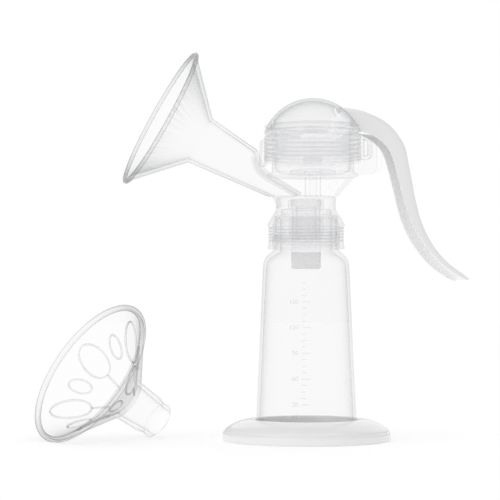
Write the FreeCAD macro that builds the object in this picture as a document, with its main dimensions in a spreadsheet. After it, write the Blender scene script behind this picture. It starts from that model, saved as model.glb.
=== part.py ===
import FreeCAD, Part
import math
import os
import re
import Sketcher

# Manual breast pump standing on its bottle, with the silicone massage cushion beside it.
# Millimetres, +Z up. The origin is the centre of the foot stand's underside, on the bottle's
# axis. The funnel points to -X, the handle to +X, and XZ is the pump's plane of symmetry.

SIZES = {
    # One wall thickness runs through the clear moulded body.
    "wall": 1.6,
    "face_gap": 0.4,
    # Ridges sink this far into their wall, and cuts run this far past the face they open.
    "root_sink": 0.2,
    "cut_past": 1.0,
    # Foot stand: a shallow moulded shell with a recess for the bottle.
    "stand_radius": 47.7,
    "stand_rim_height": 5.3,
    "stand_crown_height": 12.0,
    "stand_crown_radius": 31.2,
    "stand_recess_radius": 29.3,
    "stand_floor_top": 4.5,
    "stand_floor_under": 2.3,
    "stand_wall": 2.2,
    "stand_round": 1.2,
    # Bottle: slightly wider at the foot, thick clear wall, one turn of thread on its neck.
    "bottle_foot_radius": 28.8,
    "bottle_foot_round": 4.3,
    "bottle_shoulder_radius": 24.5,
    "bottle_shoulder_height": 103.0,
    "bottle_shoulder_round": 7.0,
    "bottle_neck_radius": 17.6,
    "bottle_neck_bore": 14.8,
    "bottle_neck_low": 108.4,
    "bottle_mouth_height": 126.2,
    "bottle_floor": 2.0,
    # Screw thread shared by the bottle's neck and the collar's skirt.
    "thread_pitch": 4.4,
    "thread_turns": 1.0,
    "thread_low": 113.4,
    "thread_depth": 1.0,
    "inner_thread_depth": 1.1,
    "thread_foot_width": 2.2,
    "thread_crest_width": 1.1,
    # Flat silicone ring between the bottle's mouth and the collar's ceiling.
    "seal_thickness": 1.4,
    # Collar: threaded skirt, rounded shoulder and neck, with the valve's spigot inside.
    "skirt_radius": 21.9,
    "skirt_bore": 19.1,
    "skirt_low": 108.3,
    "skirt_bore_top": 123.0,
    "shoulder_bore": 18.1,
    "shoulder_low": 121.9,
    "shoulder_middle": 126.0,
    "shoulder_middle_radius": 20.0,
    "shoulder_top": 129.9,
    "shoulder_round": 2.4,
    "neck_radius": 17.1,
    "neck_top_radius": 18.6,
    "neck_top": 138.3,
    "milk_floor_top": 132.8,
    "milk_room_radius": 15.4,
    "milk_ring_radius": 10.3,
    "spigot_radius": 8.2,
    "spigot_bore": 5.9,
    "spigot_low": 113.5,
    "duct_port_near": 4.6,
    "duct_port_far": 14.0,
    "duct_port_width": 12.0,
    # Duckbill valve: a round sleeve that flattens into two lips.
    "valve_sleeve_radius": 9.9,
    "valve_sleeve_top": 126.8,
    "valve_sleeve_low": 114.0,
    "valve_bill_top": 112.0,
    "valve_low": 97.2,
    "valve_width": 17.0,
    "valve_lip_depth": 2.6,
    "valve_skin": 1.0,
    # Funnel: a wide cone with a rolled lip on a tapered tube, on a slanted axis.
    "funnel_angle": 27.8,
    "throat_place_x": -61.7,
    "throat_place_z": 169.3,
    "throat_radius": 14.1,
    "cone_length": 25.4,
    "funnel_rim_radius": 41.8,
    "lip_width": 1.6,
    "lip_height": 2.2,
    "lip_round": 0.75,
    "tube_length": 29.0,
    "tube_end_radius": 11.2,
    # Milk duct: the tube's taper carried on to the neck under a roof that clears the chamber.
    "duct_taper_length": 64.0,
    "roof_high_x": -31.8,
    "roof_high_z": 173.0,
    "roof_side_x": -28.4,
    "roof_side_z": 158.0,
    "roof_low_x": -22.8,
    "roof_low_z": 150.0,
    "roof_foot_x": -1.3,
    "roof_round": 9.0,
    "roof_slope": 1.7,
    # Pump chamber: a bowl with a floor flange, cap rings and the suction stem below.
    "chamber_place_x": 4.0,
    "bowl_radius": 23.5,
    "bowl_floor_low": 150.0,
    "bowl_rim_top": 176.5,
    "bowl_floor_round": 4.0,
    "flange_radius": 26.2,
    "flange_height": 1.6,
    "cap_ring_radius": 25.4,
    "cap_ring_height": 1.2,
    "cap_ring_low": 163.0,
    "cap_ring_spacing": 4.6,
    "cap_ring_count": 3,
    "stem_radius": 4.6,
    "stem_bore": 2.25,
    # Gusset web under the chamber, and the two ears that carry the handle.
    "web_thickness": 1.6,
    "web_rib_width": 9.0,
    "web_rib_thickness": 1.4,
    "web_outer_x": 30.6,
    "web_neck_x": 17.6,
    "ear_inner_y": 4.1,
    "ear_thickness": 1.8,
    "ear_reach_x": 43.8,
    "ear_front_x": 32.9,
    "ear_step_z": 157.0,
    "ear_shoulder_z": 170.0,
    "ear_bottom_round": 6.0,
    "ear_eye_radius": 4.4,
    "pivot_place_x": 36.0,
    "pivot_place_z": 179.0,
    "pin_radius": 2.0,
    "pin_play": 0.06,
    # Diaphragm: a ribbed silicone cup hung from the bowl's rim, with a boss for the rod.
    "cup_flange_radius": 24.0,
    "cup_flange_thickness": 1.8,
    "cup_radius": 20.6,
    "cup_floor_radius": 15.5,
    "cup_wall_low": 160.2,
    "cup_skin": 1.5,
    "cup_floor_low": 155.2,
    "boss_radius": 5.6,
    "boss_top": 161.4,
    "rod_foot_radius": 3.6,
    "rod_foot_low": 157.6,
    "rod_foot_high": 159.0,
    "rod_radius": 2.0,
    "rod_head_low": 175.6,
    "rod_head_rise": 1.4,
    "rod_head_radius": 4.4,
    "rod_head_top": 178.6,
    # Dome cap: a clear spherical cover with a skirt, cut open on a slant for the handle.
    "dome_radius": 29.5,
    "dome_top": 194.8,
    "cap_skirt_radius": 28.0,
    "cap_skirt_low": 158.0,
    "cap_clamp_inner": 22.4,
    "cap_clamp_outer": 23.9,
    "opening_high_x": 15.4,
    "opening_high_z": 192.0,
    "opening_low_x": 30.8,
    "opening_low_z": 174.6,
    "opening_far_x": -2.2,
    "opening_far_z": 212.0,
    "cap_bead_size": 0.6,
    "cap_bead_low": 160.0,
    "cap_bead_spacing": 4.5,
    "cap_bead_count": 3,
    "cap_clip_width": 9.0,
    "cap_clip_reach": 27.2,
    "cap_clip_top": 170.5,
    "cap_clip_low": 155.0,
    "cap_clip_tooth": 1.5,
    "loop_width": 6.4,
    "loop_reach": 39.0,
    "loop_top": 172.6,
    "loop_low": 160.2,
    "loop_bar": 1.7,
    "loop_gap": 0.7,
    # Handle: an S-shaped channel, open towards the bottle, with an arm into the cap.
    "handle_wall": 1.4,
    "back_top_x": 18.8,
    "back_top_z": 189.8,
    "back_top_round": 60.0,
    "back_knee_x": 41.5,
    "back_knee_z": 184.8,
    "back_knee_round": 27.6,
    "back_side_x": 58.2,
    "back_side_z": 167.5,
    "back_waist_x": 64.2,
    "back_waist_z": 137.5,
    "back_waist_round": 57.4,
    "back_tip_x": 92.0,
    "back_tip_z": 94.4,
    "rim_top_x": 31.4,
    "rim_top_z": 175.8,
    "rim_knee_x": 48.9,
    "rim_knee_z": 162.8,
    "rim_knee_round": 23.2,
    "rim_waist_x": 56.4,
    "rim_waist_z": 136.1,
    "rim_waist_round": 64.0,
    "rim_tip_x": 93.4,
    "tip_edge_x": 95.2,
    "tip_edge_z": 91.6,
    "hollow_low_x": 81.4,
    "hollow_low_z": 78.6,
    "hollow_corner_x": 29.4,
    "hollow_mouth_drop": 4.0,
    "handle_top_width": 15.4,
    "handle_waist_width": 15.8,
    "handle_waist_z": 140.0,
    "handle_tip_width": 25.0,
    "handle_tip_z": 90.6,
    "arm_width": 7.0,
    "arm_tip_x": 14.4,
    "arm_top_z": 184.2,
    "arm_under_z": 180.6,
    "arm_tip_round": 2.8,
    "spine_back_x": 26.0,
    "spine_dip_x": 33.0,
    "spine_dip_z": 175.4,
    "spine_low_x": 40.5,
    "spine_low_z": 174.6,
    "spine_rim_x": 44.0,
    "spine_rim_z": 178.0,
    "spine_top_x": 41.0,
    "spine_top_z": 183.2,
    "spine_root_x": 21.8,
    "tongue_tip_x": -2.2,
    "tongue_top_z": 174.4,
    "tongue_thickness": 2.4,
    "tongue_width": 10.0,
    "tongue_slot_width": 5.2,
    "tongue_step_x": 15.0,
    "tongue_root_x": 18.4,
    # Massage cushion: a soft funnel liner lying on its rim and its nozzle.
    "cushion_rim_radius": 45.2,
    "cushion_length": 57.6,
    "cushion_nozzle_radius": 10.0,
    "cushion_throat_radius": 12.4,
    "cushion_throat_length": 27.0,
    "cushion_skin": 1.8,
    "cushion_lip_width": 2.6,
    "cushion_lip_height": 3.0,
    "cushion_turn": 202.0,
    "cushion_rim_x": -121.6,
    "cushion_rim_y": 26.0,
}

Vector = FreeCAD.Vector
Rotation = FreeCAD.Rotation
UP = Vector(0, 0, 1)
ACROSS = Vector(0, 1, 0)

document = FreeCAD.newDocument("BreastPump")
sheet = document.addObject("Spreadsheet::Sheet", "Sizes")


def fill_sheet():
    """Write every driving size into the sheet under its own name."""
    for row, (name, size) in enumerate(SIZES.items(), start=1):
        sheet.set(f"A{row}", name)
        sheet.set(f"B{row}", str(size))
        sheet.setAlias(f"B{row}", name)
    document.recompute()


def bound(expression):
    """Return the expression with each size name pointed at the sheet."""
    def point(word):
        return "Sizes." + word.group() if word.group() in SIZES else word.group()
    return re.sub(r"[a-z][a-z0-9_]*", point, expression)


def value(expression):
    """Work out an expression of size names as a plain number."""
    return float(sheet.evalExpression(expression))


# Sketches. An outline is a list of corners, each (across, up) or (across, up, radius), where
# a radius makes the side that follows the corner an arc: positive turns left, negative right.

def arc_side(start, end, radius):
    """Return the arc from start to end whose signed radius says which way it turns."""
    chord = end - start
    half = chord.Length / 2
    left = Vector(-chord.y, chord.x, 0).normalize()
    offset = math.copysign(math.sqrt(radius * radius - half * half), radius)
    centre = (start + end) / 2 + left * offset
    first, last = (start, end) if radius > 0 else (end, start)
    angles = [math.atan2(point.y - centre.y, point.x - centre.x) for point in (first, last)]
    circle = Part.Circle(centre, UP, abs(radius))
    return Part.ArcOfCircle(circle, angles[0], angles[1])


def draw_outline(sketch, corners):
    """Draw a closed outline and bind its corners and radii to the sheet."""
    places = [Vector(value(corner[0]), value(corner[1]), 0) for corner in corners]
    count = len(corners)
    starts = []
    ends = []
    for number, corner in enumerate(corners):
        start = places[number]
        end = places[(number + 1) % count]
        radius = value(corner[2]) if len(corner) == 3 else 0
        shape = arc_side(start, end, radius) if radius else Part.LineSegment(start, end)
        side = sketch.addGeometry(shape)
        starts.append((side, 2 if radius < 0 else 1))
        ends.append((side, 1 if radius < 0 else 2))
    for number, corner in enumerate(corners):
        follower = starts[(number + 1) % count]
        sketch.addConstraint(Sketcher.Constraint("Coincident", *ends[number], *follower))
        for kind, text in (("DistanceX", corner[0]), ("DistanceY", corner[1])):
            tie(sketch, Sketcher.Constraint(kind, -1, 1, *starts[number], value(text)), text)
        if len(corner) == 3:
            size = abs(value(corner[2]))
            tie(sketch, Sketcher.Constraint("Radius", starts[number][0], size), f"abs({corner[2]})")


def tie(sketch, constraint, expression):
    """Add a constraint and bind its size to an expression."""
    number = sketch.addConstraint(constraint)
    sketch.setExpression(f"Constraints[{number}]", bound(expression))


def box_corners(low_x, low_y, high_x, high_y):
    """Return the four corners of a rectangle."""
    return [(low_x, low_y), (high_x, low_y), (high_x, high_y), (low_x, high_y)]


# Bodies and their features.

def make_body(label, across="0"):
    """Return an empty body whose own origin stands at the given distance along X."""
    body = document.addObject("PartDesign::Body", label)
    body.Label = label
    body.setExpression("Placement.Base.x", bound(across))
    return body


def add_sketch(body, name, outlines, plane="XZ_Plane"):
    """Add a sketch of one or more outlines on one of the body's own origin planes."""
    sketch = body.newObject("Sketcher::SketchObject", name)
    origin_plane = [item for item in body.Origin.OriginFeatures if item.Role == plane][0]
    sketch.AttachmentSupport = [(origin_plane, "")]
    sketch.MapMode = "FlatFace"
    for outline in outlines:
        draw_outline(sketch, outline)
    return sketch


def revolve(body, name, outlines):
    """Turn outlines of (radius, height) about the body's vertical axis."""
    sketch = add_sketch(body, name + "_outline", outlines)
    feature = body.newObject("PartDesign::Revolution", name)
    feature.Profile = sketch
    feature.ReferenceAxis = (sketch, ["V_Axis"])
    feature.Angle = 360
    sketch.Visibility = False
    document.recompute()
    return feature


def extrude(body, name, kind, outlines, width, plane="XZ_Plane"):
    """Pad or pocket outlines evenly to both sides of their plane."""
    sketch = add_sketch(body, name + "_outline", outlines, plane)
    feature = body.newObject(kind, name)
    feature.Profile = sketch
    feature.Midplane = True
    feature.setExpression("Length", bound(width))
    sketch.Visibility = False
    document.recompute()
    return feature


def pad(body, name, outlines, width, plane="XZ_Plane"):
    """Raise outlines evenly to both sides of their plane."""
    return extrude(body, name, "PartDesign::Pad", outlines, width, plane)


def pocket(body, name, outlines, width, plane="XZ_Plane"):
    """Cut outlines out of the body, and make sure that they met the solid."""
    before = body.Shape.Volume
    feature = extrude(body, name, "PartDesign::Pocket", outlines, width, plane)
    if body.Shape.Volume >= before:
        raise RuntimeError(f"{name} cuts nothing from {body.Label}")
    return feature


def ring_edges(feature, spots):
    """Name the circular edges at the given (radius, height) corners of a turned solid."""
    wanted = [(value(radius), value(height)) for radius, height in spots]
    names = []
    for number, edge in enumerate(feature.Shape.Edges, start=1):
        if not isinstance(edge.Curve, Part.Circle) or abs(abs(edge.Curve.Axis.z) - 1) > 0.001:
            continue
        spot = (edge.Curve.Radius, edge.Curve.Center.z)
        if any(math.dist(spot, other) < 0.01 for other in wanted):
            names.append(f"Edge{number}")
    return names


def round_rings(body, name, spots, radius):
    """Round the circular edges at the given (radius, height) corners."""
    base = body.Tip
    feature = body.newObject("PartDesign::Fillet", name)
    feature.Base = (base, ring_edges(base, spots))
    feature.setExpression("Radius", bound(radius))
    document.recompute()
    if feature.Shape.isNull():
        raise RuntimeError(f"{name} rounds nothing on {body.Label}")
    return feature


def add_thread(body, name, outline):
    """Run a ridge of the shared pitch and length up the body's axis."""
    sketch = add_sketch(body, name + "_outline", [outline])
    feature = body.newObject("PartDesign::AdditiveHelix", name)
    feature.Profile = sketch
    feature.ReferenceAxis = (sketch, ["V_Axis"])
    feature.Mode = "pitch-turns-angle"
    feature.setExpression("Pitch", bound("thread_pitch"))
    feature.setExpression("Turns", bound("thread_turns"))
    feature.Angle = 0
    feature.Growth = 0
    feature.LeftHanded = False
    sketch.Visibility = False
    document.recompute()
    return feature


# Sub-parts, from the floor up.

def make_foot_stand():
    body = make_body("foot_stand")
    outline = [
        ("0", "stand_floor_under"),
        ("stand_recess_radius", "stand_floor_under"),
        ("stand_recess_radius", "0"),
        ("stand_recess_radius + stand_wall", "0"),
        ("stand_recess_radius + stand_wall", "stand_crown_height - 1.6 * stand_wall"),
        ("stand_radius - stand_wall", "stand_rim_height - 0.8 * stand_wall"),
        ("stand_radius - stand_wall", "0"),
        ("stand_radius", "0"),
        ("stand_radius", "stand_rim_height", "stand_radius"),
        ("stand_crown_radius", "stand_crown_height"),
        ("stand_recess_radius", "stand_crown_height"),
        ("stand_recess_radius", "stand_floor_top"),
        ("0", "stand_floor_top"),
    ]
    revolve(body, "stand_shell", [outline])
    round_rings(body, "stand_rim_round", [("stand_radius", "stand_rim_height")], "stand_round")
    mouth = [("stand_recess_radius", "stand_crown_height")]
    round_rings(body, "stand_mouth_round", mouth, "stand_round")
    return body


def make_bottle():
    body = make_body("bottle")
    foot = "stand_floor_top"
    shoulder_inside = "bottle_shoulder_height - 0.5 * bottle_floor"
    neck_inside = "bottle_neck_low - 0.5 * bottle_floor"
    outline = [
        ("0", foot),
        ("bottle_foot_radius", foot),
        ("bottle_shoulder_radius", "bottle_shoulder_height"),
        ("bottle_neck_radius", "bottle_neck_low"),
        ("bottle_neck_radius", "bottle_mouth_height"),
        ("bottle_neck_bore", "bottle_mouth_height"),
        ("bottle_neck_bore", neck_inside),
        ("bottle_shoulder_radius - wall", shoulder_inside),
        ("bottle_foot_radius - wall", "stand_floor_top + bottle_floor"),
        ("0", "stand_floor_top + bottle_floor"),
    ]
    revolve(body, "bottle_shell", [outline])
    round_rings(body, "bottle_foot_edge", [("bottle_foot_radius", foot)], "bottle_foot_round")
    inner_foot = [("bottle_foot_radius - wall", "stand_floor_top + bottle_floor")]
    round_rings(body, "bottle_floor_edge", inner_foot, "bottle_foot_round - wall")
    shoulder = [("bottle_shoulder_radius", "bottle_shoulder_height")]
    round_rings(body, "bottle_shoulder_edge", shoulder, "bottle_shoulder_round")
    inner_shoulder = [("bottle_shoulder_radius - wall", shoulder_inside)]
    inner_round = "bottle_shoulder_round - wall"
    round_rings(body, "bottle_inner_shoulder_edge", inner_shoulder, inner_round)
    root = "bottle_neck_radius - root_sink"
    crest = "bottle_neck_radius + thread_depth"
    ridge = [
        (root, "thread_low - thread_foot_width / 2"),
        (crest, "thread_low - thread_crest_width / 2"),
        (crest, "thread_low + thread_crest_width / 2"),
        (root, "thread_low + thread_foot_width / 2"),
    ]
    add_thread(body, "bottle_thread", ridge)
    return body


def make_seal_ring():
    body = make_body("bottle_seal_ring")
    top = "bottle_mouth_height + seal_thickness"
    outline = box_corners("bottle_neck_bore", "bottle_mouth_height", "bottle_neck_radius", top)
    revolve(body, "seal_ring", [outline])
    return body


def make_collar():
    body = make_body("bottle_collar")
    ceiling = "bottle_mouth_height + seal_thickness"
    milk_floor_low = "milk_floor_top - wall"
    outline = [
        ("skirt_bore", "skirt_low"),
        ("skirt_radius", "skirt_low"),
        ("skirt_radius", "shoulder_low"),
        ("shoulder_middle_radius", "shoulder_middle"),
        ("neck_radius", "shoulder_top"),
        ("neck_top_radius", "neck_top"),
        ("0", "neck_top"),
        ("0", "neck_top - wall"),
        ("milk_ring_radius - wall", "neck_top - wall"),
        ("milk_ring_radius - wall", "milk_floor_top"),
        ("spigot_bore", "milk_floor_top"),
        ("spigot_bore", "spigot_low"),
        ("spigot_radius", "spigot_low"),
        ("spigot_radius", milk_floor_low),
        ("bottle_neck_bore - face_gap", milk_floor_low),
        ("bottle_neck_bore - face_gap", ceiling),
        ("shoulder_bore", ceiling),
        ("shoulder_bore", "skirt_bore_top + skirt_bore - shoulder_bore"),
        ("skirt_bore", "skirt_bore_top"),
    ]
    milk_room = box_corners("milk_ring_radius", "milk_floor_top", "milk_room_radius", "neck_top - wall")
    revolve(body, "collar_shell", [outline, milk_room])
    shoulder = [("skirt_radius", "shoulder_low")]
    round_rings(body, "collar_shoulder_edge", shoulder, "shoulder_round")
    port = box_corners("-duct_port_far", "milk_floor_top + face_gap", "-duct_port_near", "neck_top + wall")
    pocket(body, "duct_port", [port], "duct_port_width")
    stem_port = box_corners(
        "chamber_place_x - stem_bore", "neck_top - 2 * wall",
        "chamber_place_x + stem_bore", "neck_top + wall")
    pocket(body, "stem_port", [stem_port], "2 * stem_bore")
    root = "skirt_bore + root_sink"
    crest = "skirt_bore - inner_thread_depth"
    middle = "(thread_low - thread_pitch / 2)"
    ridge = [
        (root, middle + " - thread_foot_width / 2"),
        (root, middle + " + thread_foot_width / 2"),
        (crest, middle + " + thread_crest_width / 2"),
        (crest, middle + " - thread_crest_width / 2"),
    ]
    add_thread(body, "collar_thread", ridge)
    return body


def add_bill_loft(body, name, kind, skin):
    """Loft from a circle at the sleeve down to the flat lips, inset by the skin's thickness."""
    levels = (("valve_bill_top", "valve_width"), ("valve_low", "valve_lip_depth"))
    sketches = []
    for number, (height, depth) in enumerate(levels):
        sketch = body.newObject("Sketcher::SketchObject", f"{name}_section_{number}")
        plane = [item for item in body.Origin.OriginFeatures if item.Role == "XY_Plane"][0]
        sketch.AttachmentSupport = [(plane, "")]
        sketch.MapMode = "FlatFace"
        sketch.setExpression("AttachmentOffset.Base.z", bound(height))
        long_half = value("valve_width / 2") - value(skin)
        short_half = value(depth) / 2 - value(skin)
        if short_half < long_half:
            section = Part.Ellipse(Vector(0, 0, 0), long_half, short_half)
        else:
            section = Part.Circle(Vector(0, 0, 0), UP, long_half)
        sketch.addGeometry(section)
        sketch.Visibility = False
        sketches.append(sketch)
    feature = body.newObject(kind, name)
    feature.Profile = sketches[0]
    feature.Sections = sketches[1:]
    feature.Ruled = False
    document.recompute()
    return feature


def make_valve():
    body = make_body("duckbill_valve")
    sleeve = [
        ("valve_width / 2 - valve_skin", "valve_bill_top"),
        ("valve_width / 2", "valve_bill_top"),
        ("valve_sleeve_radius", "valve_sleeve_low"),
        ("valve_sleeve_radius", "valve_sleeve_top"),
        ("spigot_radius", "valve_sleeve_top"),
        ("spigot_radius", "spigot_low"),
        ("valve_width / 2 - valve_skin", "spigot_low"),
    ]
    add_bill_loft(body, "valve_bill", "PartDesign::AdditiveLoft", "0")
    add_bill_loft(body, "valve_passage", "PartDesign::SubtractiveLoft", "valve_skin")
    revolve(body, "valve_sleeve", [sleeve])
    return body


def funnel_turn():
    """Return the turn that points a local Z axis out of the funnel."""
    return Rotation(ACROSS, -value("90 - funnel_angle"))


def throat_place():
    return Vector(value("throat_place_x"), 0, value("throat_place_z"))


def make_funnel():
    body = document.addObject("PartDesign::Body", "breast_funnel")
    body.Label = "breast_funnel"
    lip_low = "cone_length - 0.6 * lip_height"
    lip_high = "cone_length + 0.4 * lip_height"
    outline = [
        ("tube_end_radius - wall", "-tube_length"),
        ("tube_end_radius", "-tube_length"),
        ("throat_radius", "0"),
        ("funnel_rim_radius - lip_width", lip_low),
        ("funnel_rim_radius", lip_low),
        ("funnel_rim_radius", lip_high),
        ("funnel_rim_radius - 1.5 * lip_width", lip_high),
        ("throat_radius - wall", "0.6 * wall"),
    ]
    revolve(body, "funnel_shell", [outline])
    lip = [
        ("funnel_rim_radius", lip_low),
        ("funnel_rim_radius", lip_high),
        ("funnel_rim_radius - 1.5 * lip_width", lip_high),
    ]
    round_rings(body, "funnel_lip_round", lip, "lip_round")
    body.Placement = FreeCAD.Placement(throat_place(), funnel_turn())
    return body


def make_taper(name, skin):
    """Return the tube's taper, inset by a skin, carried on past the tube's end to the neck."""
    slope = "(throat_radius - tube_end_radius) / tube_length"
    cone = document.addObject("Part::Cone", name)
    far_radius = f"throat_radius - {slope} * duct_taper_length - {skin}"
    cone.setExpression("Radius1", bound(far_radius))
    cone.setExpression("Radius2", bound(f"tube_end_radius - {skin}"))
    cone.setExpression("Height", bound("duct_taper_length - tube_length"))
    start = throat_place() - funnel_turn().multVec(UP) * value("duct_taper_length")
    cone.Placement = FreeCAD.Placement(start, funnel_turn())
    return cone


def make_roofed_block(name, skin, drop):
    """Return the space under the duct's roof, inset by a skin, down past the neck's top."""
    floor = f"neck_top - {drop}"
    outline = [
        ("throat_place_x", floor),
        (f"roof_foot_x - 2 * {skin} + roof_slope * {drop}", floor),
        (f"roof_low_x - 0.5 * {skin}", f"roof_low_z - 0.9 * {skin}", "-roof_round"),
        (f"roof_side_x - {skin}", f"roof_side_z - 0.5 * {skin}"),
        (f"roof_high_x - {skin}", "roof_high_z"),
        ("throat_place_x", "roof_high_z"),
    ]
    return side_block(name, outline, "4 * tube_end_radius")


def combine(kind, label, base, tool):
    """Combine two objects into a new one of the given kind and label."""
    result = document.addObject(kind, label)
    result.Label = label
    result.Base = base
    result.Tool = tool
    document.recompute()
    return result


def make_duct():
    outer_block = make_roofed_block("duct_outer_block", "0", "0")
    inner_block = make_roofed_block("duct_inner_block", "wall", "1")
    outside = combine("Part::Common", "duct_outside", make_taper("duct_outer_taper", "0"), outer_block)
    inside = combine("Part::Common", "duct_inside", make_taper("duct_inner_taper", "wall"), inner_block)
    return combine("Part::Cut", "milk_duct", outside, inside)


def make_chamber():
    body = make_body("pump_chamber", "chamber_place_x")
    inner = "bowl_radius - wall"
    floor_top = "bowl_floor_low + wall"
    outline = [
        ("stem_bore", "neck_top"),
        ("stem_radius", "neck_top"),
        ("stem_radius", "bowl_floor_low"),
        ("flange_radius", "bowl_floor_low"),
        ("flange_radius", "bowl_floor_low + flange_height"),
        ("bowl_radius", "bowl_floor_low + flange_height"),
        ("bowl_radius", "bowl_rim_top"),
        (inner, "bowl_rim_top"),
        (inner, floor_top),
        ("stem_bore", floor_top),
    ]
    revolve(body, "chamber_bowl", [outline])
    round_rings(body, "bowl_floor_edge", [(inner, floor_top)], "bowl_floor_round")
    for number in range(int(value("cap_ring_count"))):
        low = f"cap_ring_low + {number} * cap_ring_spacing"
        high = low + " + cap_ring_height"
        ring = box_corners("bowl_radius - root_sink", low, "cap_ring_radius", high)
        revolve(body, f"cap_ring_{number + 1}", [ring])
    return body


def make_web():
    body = make_body("gusset_web")
    stem_side = "chamber_place_x + stem_radius"
    web = [
        (stem_side, "neck_top"),
        ("web_neck_x", "neck_top"),
        ("web_outer_x - 2 * web_rib_thickness", "bowl_floor_low"),
        (stem_side, "bowl_floor_low"),
    ]
    pad(body, "web_plate", [web], "web_thickness")
    rib = [
        ("web_neck_x - web_rib_thickness", "neck_top"),
        ("web_neck_x", "neck_top"),
        ("web_outer_x - 2 * web_rib_thickness", "bowl_floor_low"),
        ("web_outer_x - 3.5 * web_rib_thickness", "bowl_floor_low"),
    ]
    pad(body, "web_rib", [rib], "web_rib_width")
    return body


def make_bracket():
    body = make_body("handle_bracket", "chamber_place_x")
    root = "bowl_radius - cut_past"
    front = "ear_front_x - chamber_place_x"
    reach = "ear_reach_x - chamber_place_x"
    eye = "pivot_place_x - chamber_place_x"
    bottom = "bowl_floor_low + flange_height"
    ear = [
        (root, bottom),
        (f"{reach} - ear_bottom_round", bottom, "ear_bottom_round"),
        (reach, f"{bottom} + ear_bottom_round"),
        (reach, "ear_shoulder_z"),
        (f"{eye} + ear_eye_radius", "pivot_place_z", "ear_eye_radius"),
        (f"{eye} - 0.7 * ear_eye_radius", "pivot_place_z + 0.7 * ear_eye_radius"),
        (front, "pivot_place_z - ear_eye_radius"),
        (front, "ear_step_z"),
        (root, "ear_step_z"),
    ]
    pad(body, "ear_plates", [ear], "2 * ear_inner_y + 2 * ear_thickness")
    gap_top = "pivot_place_z + 2 * ear_eye_radius"
    gap = box_corners(root + " - cut_past", "bowl_floor_low - cut_past", "ear_reach_x", gap_top)
    pocket(body, "ear_gap", [gap], "2 * ear_inner_y")
    centre = (eye, "pivot_place_z")
    cut_round(body, "pin_holes", centre, "pin_radius", "4 * ear_inner_y", "XZ_Plane")
    cut_round(body, "bowl_clearance", ("0", "0"), "bowl_radius", "4 * bowl_rim_top", "XY_Plane")
    return body


def cut_round(body, name, centre, radius, depth, plane):
    """Pocket a round hole evenly to both sides of its plane."""
    sketch = add_sketch(body, name + "_outline", [], plane)
    middle = Vector(value(centre[0]), value(centre[1]), 0)
    side = sketch.addGeometry(Part.Circle(middle, UP, value(radius)))
    tie(sketch, Sketcher.Constraint("Radius", side, value(radius)), radius)
    if middle.Length:
        tie(sketch, Sketcher.Constraint("DistanceX", -1, 1, side, 3, middle.x), centre[0])
        tie(sketch, Sketcher.Constraint("DistanceY", -1, 1, side, 3, middle.y), centre[1])
    before = body.Shape.Volume
    feature = body.newObject("PartDesign::Pocket", name)
    feature.Profile = sketch
    feature.Midplane = True
    feature.setExpression("Length", bound(depth))
    sketch.Visibility = False
    document.recompute()
    if body.Shape.Volume >= before:
        raise RuntimeError(f"{name} cuts nothing from {body.Label}")
    return feature


def make_pin():
    pin = document.addObject("Part::Cylinder", "handle_pivot_pin")
    pin.Label = "handle_pivot_pin"
    pin.setExpression("Radius", bound("pin_radius"))
    pin.setExpression("Height", bound("2 * ear_inner_y + 2 * ear_thickness"))
    pin.Placement = FreeCAD.Placement(Vector(0, 0, 0), Rotation(Vector(1, 0, 0), 90))
    pin.setExpression("Placement.Base.x", bound("pivot_place_x"))
    pin.setExpression("Placement.Base.y", bound("ear_inner_y + ear_thickness"))
    pin.setExpression("Placement.Base.z", bound("pivot_place_z"))
    return pin


def make_diaphragm():
    body = make_body("diaphragm", "chamber_place_x")
    cup_top = "bowl_rim_top + cup_flange_thickness"
    floor_top = "cup_floor_low + cup_skin"
    outline = [
        ("0", "cup_floor_low"),
        ("cup_floor_radius", "cup_floor_low"),
        ("cup_radius", "cup_wall_low"),
        ("cup_radius", "bowl_rim_top"),
        ("cup_flange_radius", "bowl_rim_top"),
        ("cup_flange_radius", cup_top),
        ("cup_radius - cup_skin", cup_top),
        ("cup_radius - cup_skin", "cup_wall_low + 0.4 * cup_skin"),
        ("cup_floor_radius - 0.6 * cup_skin", floor_top),
        ("boss_radius", floor_top),
        ("boss_radius", "boss_top"),
        ("0", "boss_top"),
    ]
    revolve(body, "cup_wall", [outline])
    return body


def make_rod():
    body = make_body("pull_rod", "chamber_place_x")
    outline = [
        ("0", "rod_foot_low"),
        ("rod_foot_radius", "rod_foot_low"),
        ("rod_foot_radius", "rod_foot_high"),
        ("rod_radius", "rod_foot_high"),
        ("rod_radius", "rod_head_low"),
        ("rod_head_radius", "rod_head_low + rod_head_rise"),
        ("rod_head_radius", "rod_head_top"),
        ("0", "rod_head_top"),
    ]
    revolve(body, "rod_shape", [outline])
    crown = [("rod_head_radius", "rod_head_top")]
    round_rings(body, "rod_crown_round", crown, "0.2 * rod_head_radius")
    return body


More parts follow.
